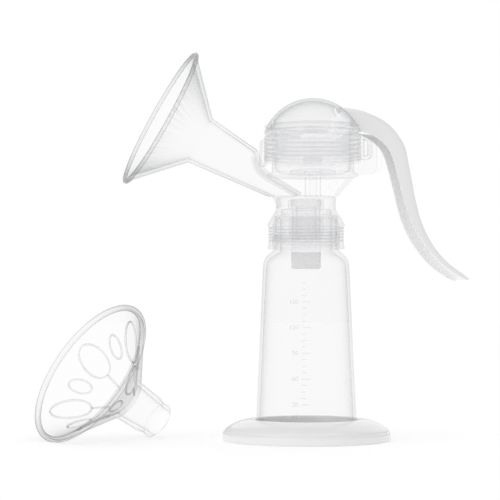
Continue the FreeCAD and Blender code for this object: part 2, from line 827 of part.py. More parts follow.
def make_cap():
    body = make_body("dome_cap", "chamber_place_x")

    def dome_height(radius, skin):
        """Return where the dome, inset by a skin, reaches a radius."""
        return f"dome_top - dome_radius + sqrt((dome_radius - {skin}) ^ 2 - ({radius}) ^ 2)"

    skirt_inside = "cap_skirt_radius - wall"
    clamp_low = "bowl_rim_top + cup_flange_thickness"
    outline = [
        (skirt_inside, "cap_skirt_low"),
        ("cap_skirt_radius", "cap_skirt_low"),
        ("cap_skirt_radius", dome_height("cap_skirt_radius", "0"), "dome_radius"),
        ("0", "dome_top"),
        ("0", "dome_top - wall", "-(dome_radius - wall)"),
        ("cap_clamp_inner", dome_height("cap_clamp_inner", "wall")),
        ("cap_clamp_inner", clamp_low),
        ("cap_clamp_outer", clamp_low),
        ("cap_clamp_outer", dome_height("cap_clamp_outer", "wall"), "-(dome_radius - wall)"),
        (skirt_inside, dome_height(skirt_inside, "wall")),
    ]
    revolve(body, "cap_shell", [outline])
    for number in range(int(value("cap_bead_count"))):
        middle = f"cap_bead_low + {number} * cap_bead_spacing"
        bead = [
            ("cap_skirt_radius - root_sink", middle + " - cap_bead_size"),
            ("cap_skirt_radius + cap_bead_size", middle),
            ("cap_skirt_radius - root_sink", middle + " + cap_bead_size"),
        ]
        revolve(body, f"cap_bead_{number + 1}", [bead])
    high_x = "opening_high_x - chamber_place_x"
    low_x = "opening_low_x - chamber_place_x"
    opening = [
        (high_x, "opening_high_z"),
        (low_x, "opening_low_z"),
        ("2 * dome_radius", "opening_low_z"),
        ("2 * dome_radius", "opening_far_z"),
        ("opening_far_x - chamber_place_x", "opening_far_z"),
    ]
    pocket(body, "arm_opening", [opening], "4 * dome_radius")
    clip_x = "cap_clip_reach + chamber_place_x"
    skirt_middle = "cap_skirt_radius - wall / 2"
    clip = box_corners(f"-({clip_x})", "cap_clip_low", f"-({skirt_middle})", "cap_clip_top")
    tooth = box_corners(
        f"-({clip_x})", "cap_clip_low", "-(flange_radius + face_gap)", "cap_clip_low + cap_clip_tooth")
    loop_x = "loop_reach - chamber_place_x"
    loop = box_corners(skirt_middle, "loop_low", loop_x, "loop_top")
    window = box_corners(
        "cap_skirt_radius + loop_gap", "loop_low + loop_bar",
        f"{loop_x} - loop_bar", "loop_top - loop_bar")
    pad(body, "side_clip", [clip], "cap_clip_width")
    pad(body, "clip_tooth", [tooth], "cap_clip_width")
    pad(body, "pull_loop", [loop, window], "loop_width")
    return body


def side_block(name, corners, width, turn=Rotation(Vector(1, 0, 0), 90)):
    """Return an outline drawn in the XZ plane, or a turned one, as a block of the given width."""
    sketch = document.addObject("Sketcher::SketchObject", name + "_outline")
    sketch.Placement = FreeCAD.Placement(Vector(0, 0, 0), turn)
    draw_outline(sketch, corners)
    block = document.addObject("Part::Extrusion", name)
    block.Base = sketch
    block.DirMode = "Normal"
    block.setExpression("LengthFwd", bound(width))
    block.Symmetric = True
    block.Solid = True
    return block


def front_block(name, inset):
    """Return the handle's front outline, wider at the tip, inset on both sides."""
    top = f"handle_top_width / 2 - {inset}"
    waist = f"handle_waist_width / 2 - {inset}"
    tip = f"handle_tip_width / 2 - {inset}"
    corners = [
        (f"-({top})", "dome_top"),
        (f"-({waist})", "handle_waist_z"),
        (f"-({tip})", "handle_tip_z"),
        (f"-({tip})", "handle_tip_z - face_gap"),
        (tip, "handle_tip_z - face_gap"),
        (tip, "handle_tip_z"),
        (waist, "handle_waist_z"),
        (top, "dome_top"),
    ]
    facing_x = Rotation(Vector(1, 1, 1), 120)
    return side_block(name, corners, "4 * back_tip_x", facing_x)


def make_handle_shell():
    """Return the handle's S-shaped channel, closed along its back and its two sides."""
    back = [
        ("back_top_x", "back_top_z", "-back_top_round"),
        ("back_knee_x", "back_knee_z", "-back_knee_round"),
        ("back_side_x", "back_side_z"),
        ("back_waist_x", "back_waist_z", "back_waist_round"),
        ("back_tip_x", "back_tip_z"),
    ]
    rim = [
        ("tip_edge_x", "tip_edge_z"),
        ("rim_tip_x", "handle_tip_z", "-rim_waist_round"),
        ("rim_waist_x", "rim_waist_z"),
        ("rim_knee_x", "rim_knee_z", "rim_knee_round"),
        ("rim_top_x", "rim_top_z"),
    ]
    skin = "handle_wall"
    hollow = [
        (f"back_top_x + 1.2 * {skin}", f"back_top_z - {skin}", f"-(back_top_round - {skin})"),
        (f"back_knee_x - 0.4 * {skin}", f"back_knee_z - 0.9 * {skin}", f"-(back_knee_round - {skin})"),
        (f"back_side_x - {skin}", "back_side_z - 0.2"),
        (f"back_waist_x - {skin}", "back_waist_z - 0.2", f"back_waist_round + {skin}"),
        (f"back_tip_x - 0.6 * {skin}", f"back_tip_z - 0.8 * {skin}"),
        ("rim_tip_x", "handle_tip_z - cut_past"),
        ("hollow_low_x", "hollow_low_z"),
        ("hollow_corner_x", "handle_tip_z"),
        (f"rim_top_x + 0.8 * {skin}", "rim_top_z - hollow_mouth_drop"),
        (f"rim_top_x + {skin}", "rim_top_z + cut_past"),
    ]
    side = side_block("handle_side", back + rim, "2 * handle_tip_width")
    outside = combine("Part::Common", "handle_outside", side, front_block("handle_front", "0"))
    core = side_block("handle_core", hollow, "2 * handle_tip_width")
    inside = combine("Part::Common", "handle_inside", core, front_block("handle_core_front", skin))
    return combine("Part::Cut", "handle_shell", outside, inside)


def make_handle_arm():
    """Return the spine round the pivot, the arm into the cap and the slotted tongue."""
    spine = [
        ("arm_tip_x", "arm_under_z"),
        ("spine_back_x", "arm_under_z"),
        ("spine_dip_x", "spine_dip_z"),
        ("spine_low_x", "spine_low_z"),
        ("spine_rim_x", "spine_rim_z"),
        ("spine_top_x", "spine_top_z"),
        ("spine_root_x", "back_top_z - 0.5 * handle_wall"),
        ("arm_tip_x + arm_tip_round", "arm_top_z", "arm_tip_round"),
        ("arm_tip_x", "arm_top_z - arm_tip_round"),
    ]
    tongue = [
        ("tongue_tip_x", "tongue_top_z - tongue_thickness"),
        ("tongue_root_x", "tongue_top_z - tongue_thickness"),
        ("tongue_root_x", "arm_under_z + cut_past"),
        ("tongue_step_x", "arm_under_z + cut_past"),
        ("tongue_step_x", "tongue_top_z"),
        ("tongue_tip_x", "tongue_top_z"),
    ]
    slot_end = "chamber_place_x + tongue_slot_width"
    slot_low = "tongue_top_z - 2 * tongue_thickness"
    slot = box_corners("tongue_tip_x - cut_past", slot_low, slot_end, "tongue_top_z + cut_past")
    spine_block = side_block("handle_spine", spine, "arm_width")
    tongue_block = side_block("handle_tongue", tongue, "tongue_width")
    slot_block = side_block("tongue_slot", slot, "tongue_slot_width")
    fork = combine("Part::Cut", "handle_fork", tongue_block, slot_block)
    return combine("Part::Fuse", "handle_arm", spine_block, fork)


def make_handle():
    solid = combine("Part::Fuse", "handle_solid", make_handle_shell(), make_handle_arm())
    bore = document.addObject("Part::Cylinder", "pivot_bore")
    bore.setExpression("Radius", bound("pin_radius + pin_play"))
    bore.setExpression("Height", bound("2 * arm_width"))
    bore.Placement = FreeCAD.Placement(Vector(0, 0, 0), Rotation(Vector(1, 0, 0), 90))
    bore.setExpression("Placement.Base.x", bound("pivot_place_x"))
    bore.setExpression("Placement.Base.y", bound("arm_width"))
    bore.setExpression("Placement.Base.z", bound("pivot_place_z"))
    return combine("Part::Cut", "handle", solid, bore)


def make_cushion():
    body = document.addObject("PartDesign::Body", "massage_cushion")
    body.Label = "massage_cushion"
    rim_low = "cushion_length - cushion_lip_height"
    outline = [
        ("cushion_nozzle_radius - cushion_skin", "0"),
        ("cushion_nozzle_radius", "0"),
        ("cushion_throat_radius", "cushion_throat_length"),
        ("cushion_rim_radius - cushion_lip_width", rim_low),
        ("cushion_rim_radius", rim_low),
        ("cushion_rim_radius", "cushion_length"),
        ("cushion_rim_radius - 1.6 * cushion_lip_width", "cushion_length"),
        ("cushion_throat_radius - cushion_skin", "cushion_throat_length + cushion_skin"),
    ]
    revolve(body, "cushion_wall", [outline])
    lip = [
        ("cushion_rim_radius", rim_low),
        ("cushion_rim_radius", "cushion_length"),
        ("cushion_rim_radius - 1.6 * cushion_lip_width", "cushion_length"),
    ]
    round_rings(body, "cushion_lip_round", lip, "0.35 * cushion_lip_height")
    lay_cushion(body)
    return body


def lay_cushion(body):
    """Lay the cushion on the edge of its rim and the end of its nozzle."""
    drop = value("cushion_rim_radius - cushion_nozzle_radius")
    tilt = math.degrees(math.atan2(drop, value("cushion_length - 0.65 * cushion_lip_height")))
    turn = Rotation(UP, value("cushion_turn")).multiply(Rotation(ACROSS, 90 - tilt))
    rim_centre = Vector(value("cushion_rim_x"), value("cushion_rim_y"), 0)
    start = rim_centre - turn.multVec(UP) * value("cushion_length")
    body.Placement = FreeCAD.Placement(start, turn)
    document.recompute()
    lift = -body.Shape.optimalBoundingBox(False, False).ZMin
    body.Placement = FreeCAD.Placement(start + UP * lift, turn)
    document.recompute()


MAKERS = [
    make_foot_stand, make_bottle, make_seal_ring, make_collar, make_valve, make_funnel, make_duct,
    make_chamber, make_web, make_bracket, make_pin, make_diaphragm, make_rod, make_cap,
    make_handle, make_cushion,
]


def check_document():
    """Stop if any object of the document failed to build."""
    for item in document.Objects:
        if "Invalid" in item.State or "Error" in item.State:
            raise RuntimeError(f"{item.Name} failed: {item.State}")


def write_parts(sub_parts):
    """Write each sub-part's solid to a file of its own name."""
    os.makedirs("parts", exist_ok=True)
    for item in sub_parts:
        if item.Shape.isNull() or not item.Shape.isValid():
            raise RuntimeError(f"{item.Label} is not a valid solid")
        item.Shape.exportStep(os.path.join("parts", item.Label + ".step"))
        box = item.Shape.BoundBox
        print(item.Label, len(item.Shape.Solids), "solids", round(item.Shape.Volume), "mm3", box)


fill_sheet()
sub_parts = [maker() for maker in MAKERS]
document.recompute()
check_document()
write_parts(sub_parts)
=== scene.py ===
import bpy
import bmesh
import math
from mathutils import Matrix, Vector


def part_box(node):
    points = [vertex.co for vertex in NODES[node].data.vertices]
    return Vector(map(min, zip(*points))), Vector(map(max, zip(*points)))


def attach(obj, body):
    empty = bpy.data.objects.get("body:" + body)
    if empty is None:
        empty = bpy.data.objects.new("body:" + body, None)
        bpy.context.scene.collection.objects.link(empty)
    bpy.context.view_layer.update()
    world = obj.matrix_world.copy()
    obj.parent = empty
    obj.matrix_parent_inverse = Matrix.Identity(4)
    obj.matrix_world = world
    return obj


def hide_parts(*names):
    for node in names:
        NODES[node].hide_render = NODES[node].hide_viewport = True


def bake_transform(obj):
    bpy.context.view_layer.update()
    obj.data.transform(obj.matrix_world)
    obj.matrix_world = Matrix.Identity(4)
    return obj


# A manual breast pump in clear plastic on its bottle, with a silicone massage cushion beside it.
# Sizes are in millimetres, in the frame's own axes; MM turns them into Blender's metres.
MM = 0.001

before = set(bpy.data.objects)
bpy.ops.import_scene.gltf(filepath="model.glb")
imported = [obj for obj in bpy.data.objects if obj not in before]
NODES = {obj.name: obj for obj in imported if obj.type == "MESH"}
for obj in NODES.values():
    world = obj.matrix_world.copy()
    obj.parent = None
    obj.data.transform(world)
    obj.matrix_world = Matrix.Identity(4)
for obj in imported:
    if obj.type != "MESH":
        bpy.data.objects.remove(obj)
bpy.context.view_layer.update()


def reach(node):
    """Return a node's lowest and highest corners in millimetres."""
    low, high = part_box(node)
    return low / MM, high / MM


# Places and sizes read from the frame.

_, STAND_HIGH = reach("foot_stand")
BOTTLE_LOW, BOTTLE_HIGH = reach("bottle")
COLLAR_LOW, COLLAR_HIGH = reach("bottle_collar")
SEAL_LOW, SEAL_HIGH = reach("bottle_seal_ring")
VALVE_LOW, VALVE_HIGH = reach("duckbill_valve")
BOWL_LOW, BOWL_HIGH = reach("pump_chamber")
CUP_LOW, CUP_HIGH = reach("diaphragm")
_, CAP_HIGH = reach("dome_cap")
CHAMBER_X = (CUP_LOW.x + CUP_HIGH.x) / 2
WALL = 1.6
THREAD_PITCH = 4.4

# The funnel's slanted axis, from the throat outwards.
FUNNEL_ANGLE = math.radians(27.8)
THROAT = Vector((-61.7, 0, 169.3))
FUNNEL_FRAME = Matrix.Translation(THROAT) @ Matrix.Rotation(FUNNEL_ANGLE - math.pi / 2, 4, "Y")
CHAMBER_FRAME = Matrix.Translation((CHAMBER_X, 0, 0))
UPRIGHT = Matrix.Identity(4)

# The cushion lies on the edge of its rim and the end of its nozzle.
CUSHION_RIM = 45.2
CUSHION_NOZZLE = 10.0
CUSHION_LENGTH = 57.6
CUSHION_LIP = 3.0
LIP_CONTACT = 0.65 * CUSHION_LIP
CUSHION_TILT = math.atan2(CUSHION_RIM - CUSHION_NOZZLE, CUSHION_LENGTH - LIP_CONTACT)
CUSHION_TURN = math.radians(202.0)
CUSHION_RIM_PLACE = Vector((-121.6, 26.0, 0))
cushion_spin = Matrix.Rotation(CUSHION_TURN, 4, "Z") @ Matrix.Rotation(math.pi / 2 - CUSHION_TILT, 4, "Y")
cushion_axis = (cushion_spin @ Vector((0, 0, 1))).normalized()
cushion_start = CUSHION_RIM_PLACE - cushion_axis * CUSHION_LENGTH
cushion_start.z = CUSHION_NOZZLE * math.cos(CUSHION_TILT)
CUSHION_FRAME = Matrix.Translation(cushion_start) @ cushion_spin


# Node materials.

PLASTIC_IOR = 1.49
THIN = (0.994, 0.994, 0.995)
ROUGH_DRIFT = 0.08
CLEAR_GRAIN = 90.0
MOULDED_GRAIN = 60.0
MOULDED_BUMP = 0.05


def new_material(name):
    """Return a new material with its node tree, its Principled shader and its output."""
    material = bpy.data.materials.new(name)
    material.use_nodes = True
    tree = material.node_tree
    return material, tree, tree.nodes["Principled BSDF"], tree.nodes["Material Output"]


def add_node(tree, kind, **values):
    """Add a node and set its input sockets by name."""
    node = tree.nodes.new(kind)
    for name, amount in values.items():
        node.inputs[name.replace("_", " ")].default_value = amount
    return node


def add_grain(tree, shader, scale, bump, rough_low, rough_high):
    """Give a shader a fine uneven surface: a little bump, and roughness that drifts."""
    place = tree.nodes.new("ShaderNodeTexCoord")
    noise = add_node(tree, "ShaderNodeTexNoise", Scale=scale, Detail=4.0, Roughness=0.55)
    tree.links.new(place.outputs["Object"], noise.inputs["Vector"])
    drift = add_node(tree, "ShaderNodeMapRange", To_Min=rough_low, To_Max=rough_high)
    tree.links.new(noise.outputs["Fac"], drift.inputs["Value"])
    tree.links.new(drift.outputs["Result"], shader.inputs["Roughness"])
    relief = add_node(tree, "ShaderNodeBump", Strength=bump, Distance=0.0004)
    tree.links.new(noise.outputs["Fac"], relief.inputs["Height"])
    tree.links.new(relief.outputs["Normal"], shader.inputs["Normal"])


def see_through(name, colour, centre, edge, power, rough, bump, painted_glow=0.0):
    """Return a clear plastic whose solid grey share grows from centre to edge at a grazing angle; the grey
    paints the dark edges that refraction gives clear plastic, and the glow, when given, is painted light.
    """
    material, tree, shader, output = new_material(name)
    shader.inputs["Base Color"].default_value = (*colour, 1)
    shader.inputs["IOR"].default_value = PLASTIC_IOR
    # Emission is painted light: a glow that no lamp gives.
    shader.inputs["Emission Color"].default_value = (*colour, 1)
    shader.inputs["Emission Strength"].default_value = painted_glow
    add_grain(tree, shader, CLEAR_GRAIN, bump, rough, rough + ROUGH_DRIFT)
    open_face = tree.nodes.new("ShaderNodeBsdfTransparent")
    open_face.inputs["Color"].default_value = (*THIN, 1)
    # The grey share grows at grazing angles: painted shade for the dark edges that refraction draws.
    facing = add_node(tree, "ShaderNodeLayerWeight", Blend=0.5)
    curve = tree.nodes.new("ShaderNodeMath")
    curve.operation = "POWER"
    curve.inputs[1].default_value = power
    tree.links.new(facing.outputs["Facing"], curve.inputs[0])
    share = add_node(tree, "ShaderNodeMapRange", To_Min=centre, To_Max=edge)
    tree.links.new(curve.outputs[0], share.inputs["Value"])
    blend = tree.nodes.new("ShaderNodeMixShader")
    tree.links.new(share.outputs["Result"], blend.inputs["Fac"])
    tree.links.new(open_face.outputs[0], blend.inputs[1])
    tree.links.new(shader.outputs[0], blend.inputs[2])
    tree.links.new(blend.outputs[0], output.inputs["Surface"])
    return material


def solid_plastic(name, colour, rough_low, rough_high, coat, painted_glow=0.0):
    """Return a glossy moulded plastic with a faint flow texture, and a painted glow when one is given."""
    material, tree, shader, _ = new_material(name)
    shader.inputs["Base Color"].default_value = (*colour, 1)
    shader.inputs["IOR"].default_value = PLASTIC_IOR
    shader.inputs["Coat Weight"].default_value = coat
    shader.inputs["Coat Roughness"].default_value = 0.08
    # Emission is painted light: a glow that no lamp gives.
    shader.inputs["Emission Color"].default_value = (*colour, 1)
    shader.inputs["Emission Strength"].default_value = painted_glow
    add_grain(tree, shader, MOULDED_GRAIN, MOULDED_BUMP, rough_low, rough_high)
    return material


# Each clear material's grey share at grazing angles is painted edge shade for refraction; the inner walls get
# fainter painted edges.
CLEAR = see_through(
    "clear_polypropylene", (0.26, 0.27, 0.28), centre=0.008, edge=0.92, power=6.0,
    rough=0.05, bump=0.03)
DOMED = see_through(
    "clear_dome", (0.44, 0.45, 0.46), centre=0.045, edge=0.92, power=4.5,
    rough=0.05, bump=0.03)
INNER = see_through(
    "clear_inner_wall", (0.45, 0.46, 0.47), centre=0.012, edge=0.30, power=3.0,
    rough=0.05, bump=0.03)
# The skirt band and ring lines glow a little: painted light against the shade inside the stacked clear walls.
BANDED = see_through(
    "clear_skirt_band", (0.70, 0.70, 0.71), centre=0.05, edge=0.36, power=2.5,
    rough=0.12, bump=0.03, painted_glow=0.10)
RINGED = see_through(
    "moulded_ring_lines", (0.66, 0.67, 0.68), centre=0.10, edge=0.30, power=1.0,
    rough=0.12, bump=0.03, painted_glow=0.08)
# The funnel's rolled lip is darker grey: painted shade that draws the rim's dark line.
LIP = see_through(
    "clear_rolled_lip", (0.22, 0.23, 0.24), centre=0.05, edge=0.90, power=2.2,
    rough=0.05, bump=0.03)
# The frosted collar glows a little: painted light against the shade inside the stacked clear walls.
FROSTED = see_through(
    "frosted_polypropylene", (0.66, 0.66, 0.67), centre=0.05, edge=0.46, power=2.2,
    rough=0.14, bump=0.03, painted_glow=0.10)
BOTTLE_CLEAR = see_through(
    "clear_bottle", (0.42, 0.43, 0.44), centre=0.018, edge=0.46, power=4.0,
    rough=0.05, bump=0.03)
SILICONE = see_through(
    "clear_silicone", (0.24, 0.24, 0.25), centre=0.009, edge=0.95, power=5.5,
    rough=0.14, bump=0.06)
# The petal beads and the cushion's roll are darker grey: painted shade that draws their dark outlines.
PETAL_EDGE = see_through(
    "petal_edge", (0.20, 0.20, 0.21), centre=0.05, edge=0.80, power=2.0,
    rough=0.14, bump=0.06)
CUSHION_LINE = see_through(
    "cushion_roll", (0.14, 0.14, 0.15), centre=0.03, edge=0.95, power=3.0,
    rough=0.14, bump=0.06)
# The silicones glow: painted light that stands in for light carried through the silicone and lightens their
# shade.
MILKY = see_through(
    "milky_silicone", (0.80, 0.80, 0.81), centre=0.10, edge=0.34, power=2.0,
    rough=0.28, bump=0.12, painted_glow=0.22)
VALVE = see_through(
    "grey_silicone", (0.52, 0.52, 0.53), centre=0.26, edge=0.55, power=2.0,
    rough=0.28, bump=0.12, painted_glow=0.06)
SLEEVE = see_through(
    "thin_silicone", (0.70, 0.70, 0.71), centre=0.07, edge=0.25, power=2.2,
    rough=0.28, bump=0.12, painted_glow=0.10)
WHITE = solid_plastic("white_gloss", (0.90, 0.90, 0.90), rough_low=0.16, rough_high=0.24, coat=0.35)
# The arm inside the dome glows: painted light that lightens the shade under the dome and the handle's
# channel.
ARM_WHITE_PAINTED_GLOW = solid_plastic(
    "white_arm_painted_glow", (0.92, 0.92, 0.92), rough_low=0.2, rough_high=0.28, coat=0.2, painted_glow=0.26)
MARKS = see_through(
    "raised_marks", (0.55, 0.56, 0.57), centre=0.14, edge=0.5, power=1.0,
    rough=0.2, bump=0.05)


# Mesh tools.

# A corner whose half angle is beyond this many radians is taken as straight.
STRAIGHT = 1.55
# The most of a side that one corner's arc may use.
LEG_LIMIT = 0.49
ON_AXIS = 1e-6
MERGE_DISTANCE = 0.001 * MM
EDGE_ANGLE = 40


def rounded(corners, steps=5):
    """Return a closed outline with each (across, up, radius) corner turned into a smooth arc."""
    points = []
    count = len(corners)
    for number, (across, up, radius) in enumerate(corners):
        corner = Vector((across, up))
        before = Vector(corners[number - 1][:2]) - corner
        after = Vector(corners[(number + 1) % count][:2]) - corner
        half = before.angle(after) / 2
        if radius <= 0 or half > STRAIGHT:
            points.append(corner)
            continue
        leg = min(radius / math.tan(half), LEG_LIMIT * before.length, LEG_LIMIT * after.length)
        radius = leg * math.tan(half)
        middle = (before.normalized() + after.normalized()).normalized()
        centre = corner + middle * (radius / math.sin(half))
        first = corner + before.normalized() * leg - centre
        sweep = (corner + after.normalized() * leg - centre).angle_signed(first)
        for step in range(steps + 1):
            turn = Matrix.Rotation(sweep * step / steps, 2)
            points.append(centre + turn @ first)
    return [(point.x, point.y) for point in points]


def arc(centre, radius, start, end, steps):
    """Return points on a circular arc between two angles in degrees."""
    angles = [math.radians(start + (end - start) * step / steps) for step in range(steps + 1)]
    return [(centre[0] + radius * math.cos(a), centre[1] + radius * math.sin(a)) for a in angles]


def new_piece(name, mesh, material, smooth=35):
    """Link a mesh as a piece with its material and smooth shading up to an angle."""
    mesh.materials.append(material)
    mesh.polygons.foreach_set("use_smooth", [True] * len(mesh.polygons))
    mesh.set_sharp_from_angle(angle=math.radians(smooth))
    piece = bpy.data.objects.new(name, mesh)
    bpy.context.scene.collection.objects.link(piece)
    return piece


def finish_mesh(name, build):
    """Turn a bmesh into a mesh with merged points and outward normals."""
    bmesh.ops.remove_doubles(build, verts=build.verts, dist=MERGE_DISTANCE)
    bmesh.ops.recalc_face_normals(build, faces=build.faces)
    mesh = bpy.data.meshes.new(name)
    build.to_mesh(mesh)
    build.free()
    return mesh


def add_points(build, points, place=UPRIGHT):
    """Add corners, given in millimetres in a placement's own axes, and return them."""
    return [build.verts.new((place @ Vector(point)) * MM) for point in points]


def join_rings(build, near, far):
    """Join two closed rings of corners with a band of faces."""
    count = len(near)
    for number in range(count):
        after = (number + 1) % count
        build.faces.new((near[number], near[after], far[after], far[number]))


def turned(name, outline_at, place, material, turns, smooth):
    """Turn a closed (radius, height) outline, which may change with the angle, about a placement's axis."""
    build = bmesh.new()
    rings = []
    for number in range(turns):
        angle = math.tau * number / turns
        outline = outline_at(angle)
        points = [(r * math.cos(angle), r * math.sin(angle), up) for r, up in outline]
        rings.append(add_points(build, points, place))
    count = len(outline)
    for number in range(turns):
        near, far = rings[number], rings[(number + 1) % turns]
        for step in range(count):
            after = (step + 1) % count
            if outline[step][0] < ON_AXIS and outline[after][0] < ON_AXIS:
                continue
            build.faces.new((near[step], far[step], far[after], near[after]))
    return new_piece(name, finish_mesh(name, build), material, smooth)


def lathe(name, outline, place, material, turns=128, smooth=35):
    """Turn one closed (radius, height) outline about the axis of the given placement."""
    return turned(name, lambda angle: outline, place, material, turns, smooth)


def applied(piece):
    """Apply a piece's modifiers to its mesh, and return it."""
    bpy.context.view_layer.update()
    shaped = bpy.data.meshes.new_from_object(piece.evaluated_get(bpy.context.evaluated_depsgraph_get()))
    piece.modifiers.clear()
    piece.data = shaped
    return piece


def slab(name, outline, low_y, high_y, material, bevel=0.0):
    """Return an (x, z) outline as a slab between two y values, with rounded edges."""
    build = bmesh.new()
    near = add_points(build, [(x, low_y, z) for x, z in outline])
    far = add_points(build, [(x, high_y, z) for x, z in outline])
    build.faces.new(near)
    build.faces.new(far)
    join_rings(build, near, far)
    piece = new_piece(name, finish_mesh(name, build), material, EDGE_ANGLE)
    if bevel:
        round_edges(piece, bevel)
    return piece


def round_edges(piece, width):
    """Round the sharp edges of a piece, and return it."""
    modifier = piece.modifiers.new("rounding", "BEVEL")
    modifier.width = width * MM
    modifier.segments = 3
    modifier.limit_method = "ANGLE"
    modifier.angle_limit = math.radians(EDGE_ANGLE)
    return applied(piece)


def carve(piece, cutter, operation="DIFFERENCE"):
    """Cut one closed piece with another, and drop the cutter."""
    modifier = piece.modifiers.new("carve", "BOOLEAN")
    modifier.operation = operation
    modifier.solver = "EXACT"
    modifier.object = cutter
    applied(piece)
    bpy.data.objects.remove(cutter)


def keep_node(node, material):
    """Show a CAD node as it is, with a finished material and smooth shading."""
    item = NODES[node]
    item.data.materials.clear()
    item.data.materials.append(material)
    item.data.polygons.foreach_set("use_smooth", [True] * len(item.data.polygons))
    item.data.set_sharp_from_angle(angle=math.radians(30))


def place_piece(piece, body, slot, *nodes):
    """Let a piece ride on a body and stand for CAD nodes; the slot is not used."""
    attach(piece, body)
    if nodes:
        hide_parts(*nodes)


# Foot stand.

def make_stand():
    """Make the stand: a shallow shell with a recess that holds the bottle."""
    rim = STAND_HIGH.x
    crown = STAND_HIGH.z
    recess = 29.3
    floor = BOTTLE_LOW.z
    skin = 2.2
    swell_across, swell_round = 30.5, 24.3
    edge_up, edge_round = 3.7, 1.6
    lip_across, lip_round = 1.3, 1.2
    chamfer = 0.4
    swell = arc((swell_across, crown - swell_round), swell_round, 88, 49, 14)
    outline = [(0, floor - skin), (recess, floor - skin), (recess, 0), (recess + skin, 0)]
    outline += [(recess + skin, crown - 2 * skin), (rim - skin, 3.4), (rim - skin, 0)]
    outline += [(rim - chamfer, 0), (rim, chamfer)]
    outline += arc((rim - edge_round, edge_up), edge_round, 0, 70, 6)
    outline += list(reversed(swell))
    outline += arc((recess + lip_across, crown - lip_round), lip_round, 90, 180, 5)
    outline += [(recess, floor), (0, floor)]
    piece = lathe("foot_stand_shell", outline, UPRIGHT, WHITE, 160, 50)
    place_piece(piece, "stand", "white_gloss", "foot_stand")


# Bottle, its thread and its graduation.

BOTTLE_FOOT = 28.8
BOTTLE_SHOULDER = 24.3
SHOULDER_Z = 103.0
NECK_LOW = 108.4
NECK = 17.6
NECK_BORE = 14.8
BOTTLE_FLOOR = 2.0
GRADUATION_FACING = math.radians(-111)


def make_bottle():
    """Make the bottle: a tapered wall, a round shoulder, an open neck and a raised floor."""
    foot, mouth = BOTTLE_LOW.z, BOTTLE_HIGH.z
    outline = rounded([
        (0, foot + 0.8, 0),
        (BOTTLE_FOOT - 8, foot + 0.8, 0.6),
        (BOTTLE_FOOT - 7, foot, 0.6),
        (BOTTLE_FOOT, foot, 4.3),
        (BOTTLE_SHOULDER, SHOULDER_Z, 9.6),
        (NECK + 0.4, NECK_LOW, 1.0),
        (NECK, NECK_LOW + 1.6, 0.6),
        (NECK, mouth, 0.6),
        (NECK_BORE, mouth, 0.6),
        (NECK_BORE, NECK_LOW - 1, 1.5),
        (BOTTLE_SHOULDER - WALL, SHOULDER_Z - 1, 8.0),
        (BOTTLE_FOOT - WALL, foot + BOTTLE_FLOOR, 3.4),
        (0, foot + BOTTLE_FLOOR + 0.6, 0),
    ], 8)
    piece = lathe("bottle_shell", outline, UPRIGHT, BOTTLE_CLEAR, 160, 40)
    place_piece(piece, "bottle", "bottle_clear", "bottle")


def helix_ridge(name, root, crest, middle, material):
    """Return a screw thread's ridge, one turn long, tapered to nothing at its two ends."""
    foot, top = 1.1, 0.55
    steps = 96
    run_out = 10
    least = 0.05
    build = bmesh.new()
    rows = []
    for step in range(steps + 1):
        share = step / steps
        angle = math.tau * share
        height = middle + THREAD_PITCH * share
        fade = min(1.0, share * run_out, (1 - share) * run_out)
        peak = root + (crest - root) * max(fade, least)
        spots = [(root, -foot), (peak, -top), (peak, top), (root, foot)]
        points = [(r * math.cos(angle), r * math.sin(angle), height + up) for r, up in spots]
        rows.append(add_points(build, points))
    for near, far in zip(rows, rows[1:]):
        join_rings(build, near, far)
    build.faces.new(rows[0])
    build.faces.new(rows[-1])
    return new_piece(name, finish_mesh(name, build), material, 50)


def cone_radius(height):
    """Return the bottle wall's outer radius at a height."""
    share = (height - BOTTLE_LOW.z) / (SHOULDER_Z - BOTTLE_LOW.z)
    return BOTTLE_FOOT + (BOTTLE_SHOULDER - BOTTLE_FOOT) * share


def wrap_on_bottle(mesh, facing):
    """Bend a flat mesh (x across, y up, z out, in mm) round the bottle's wall."""
    for vertex in mesh.vertices:
        across, up, out = vertex.co
        radius = cone_radius(up) + out
        angle = facing + across / cone_radius(up)
        vertex.co = Vector((radius * math.cos(angle), radius * math.sin(angle), up)) * MM


def text_mesh(words, size, across, up, thickness):
    """Return raised lettering as a flat mesh in millimetres."""
    curve = bpy.data.curves.new("label", "FONT")
    curve.body = words
    curve.size = size
    curve.extrude = thickness
    curve.resolution_u = 3
    curve.align_x = "RIGHT"
    curve.align_y = "CENTER"
    holder = bpy.data.objects.new("label", curve)
    mesh = bpy.data.meshes.new_from_object(holder)
    mesh.transform(Matrix.Translation((across, up, thickness)))
    bpy.data.objects.remove(holder)
    return mesh


def tick_mesh(across, up, width, height, thickness):
    """Return one raised mark as a thin box in millimetres."""
    build = bmesh.new()
    size = Matrix.Diagonal((width, height, thickness, 1))
    bmesh.ops.create_cube(build, size=1, matrix=Matrix.Translation((across, up, thickness / 2)) @ size)
    bmesh.ops.subdivide_edges(build, edges=build.edges, cuts=2, use_grid_fill=True)
    mesh = bpy.data.meshes.new("tick")
    build.to_mesh(mesh)
    build.free()
    return mesh


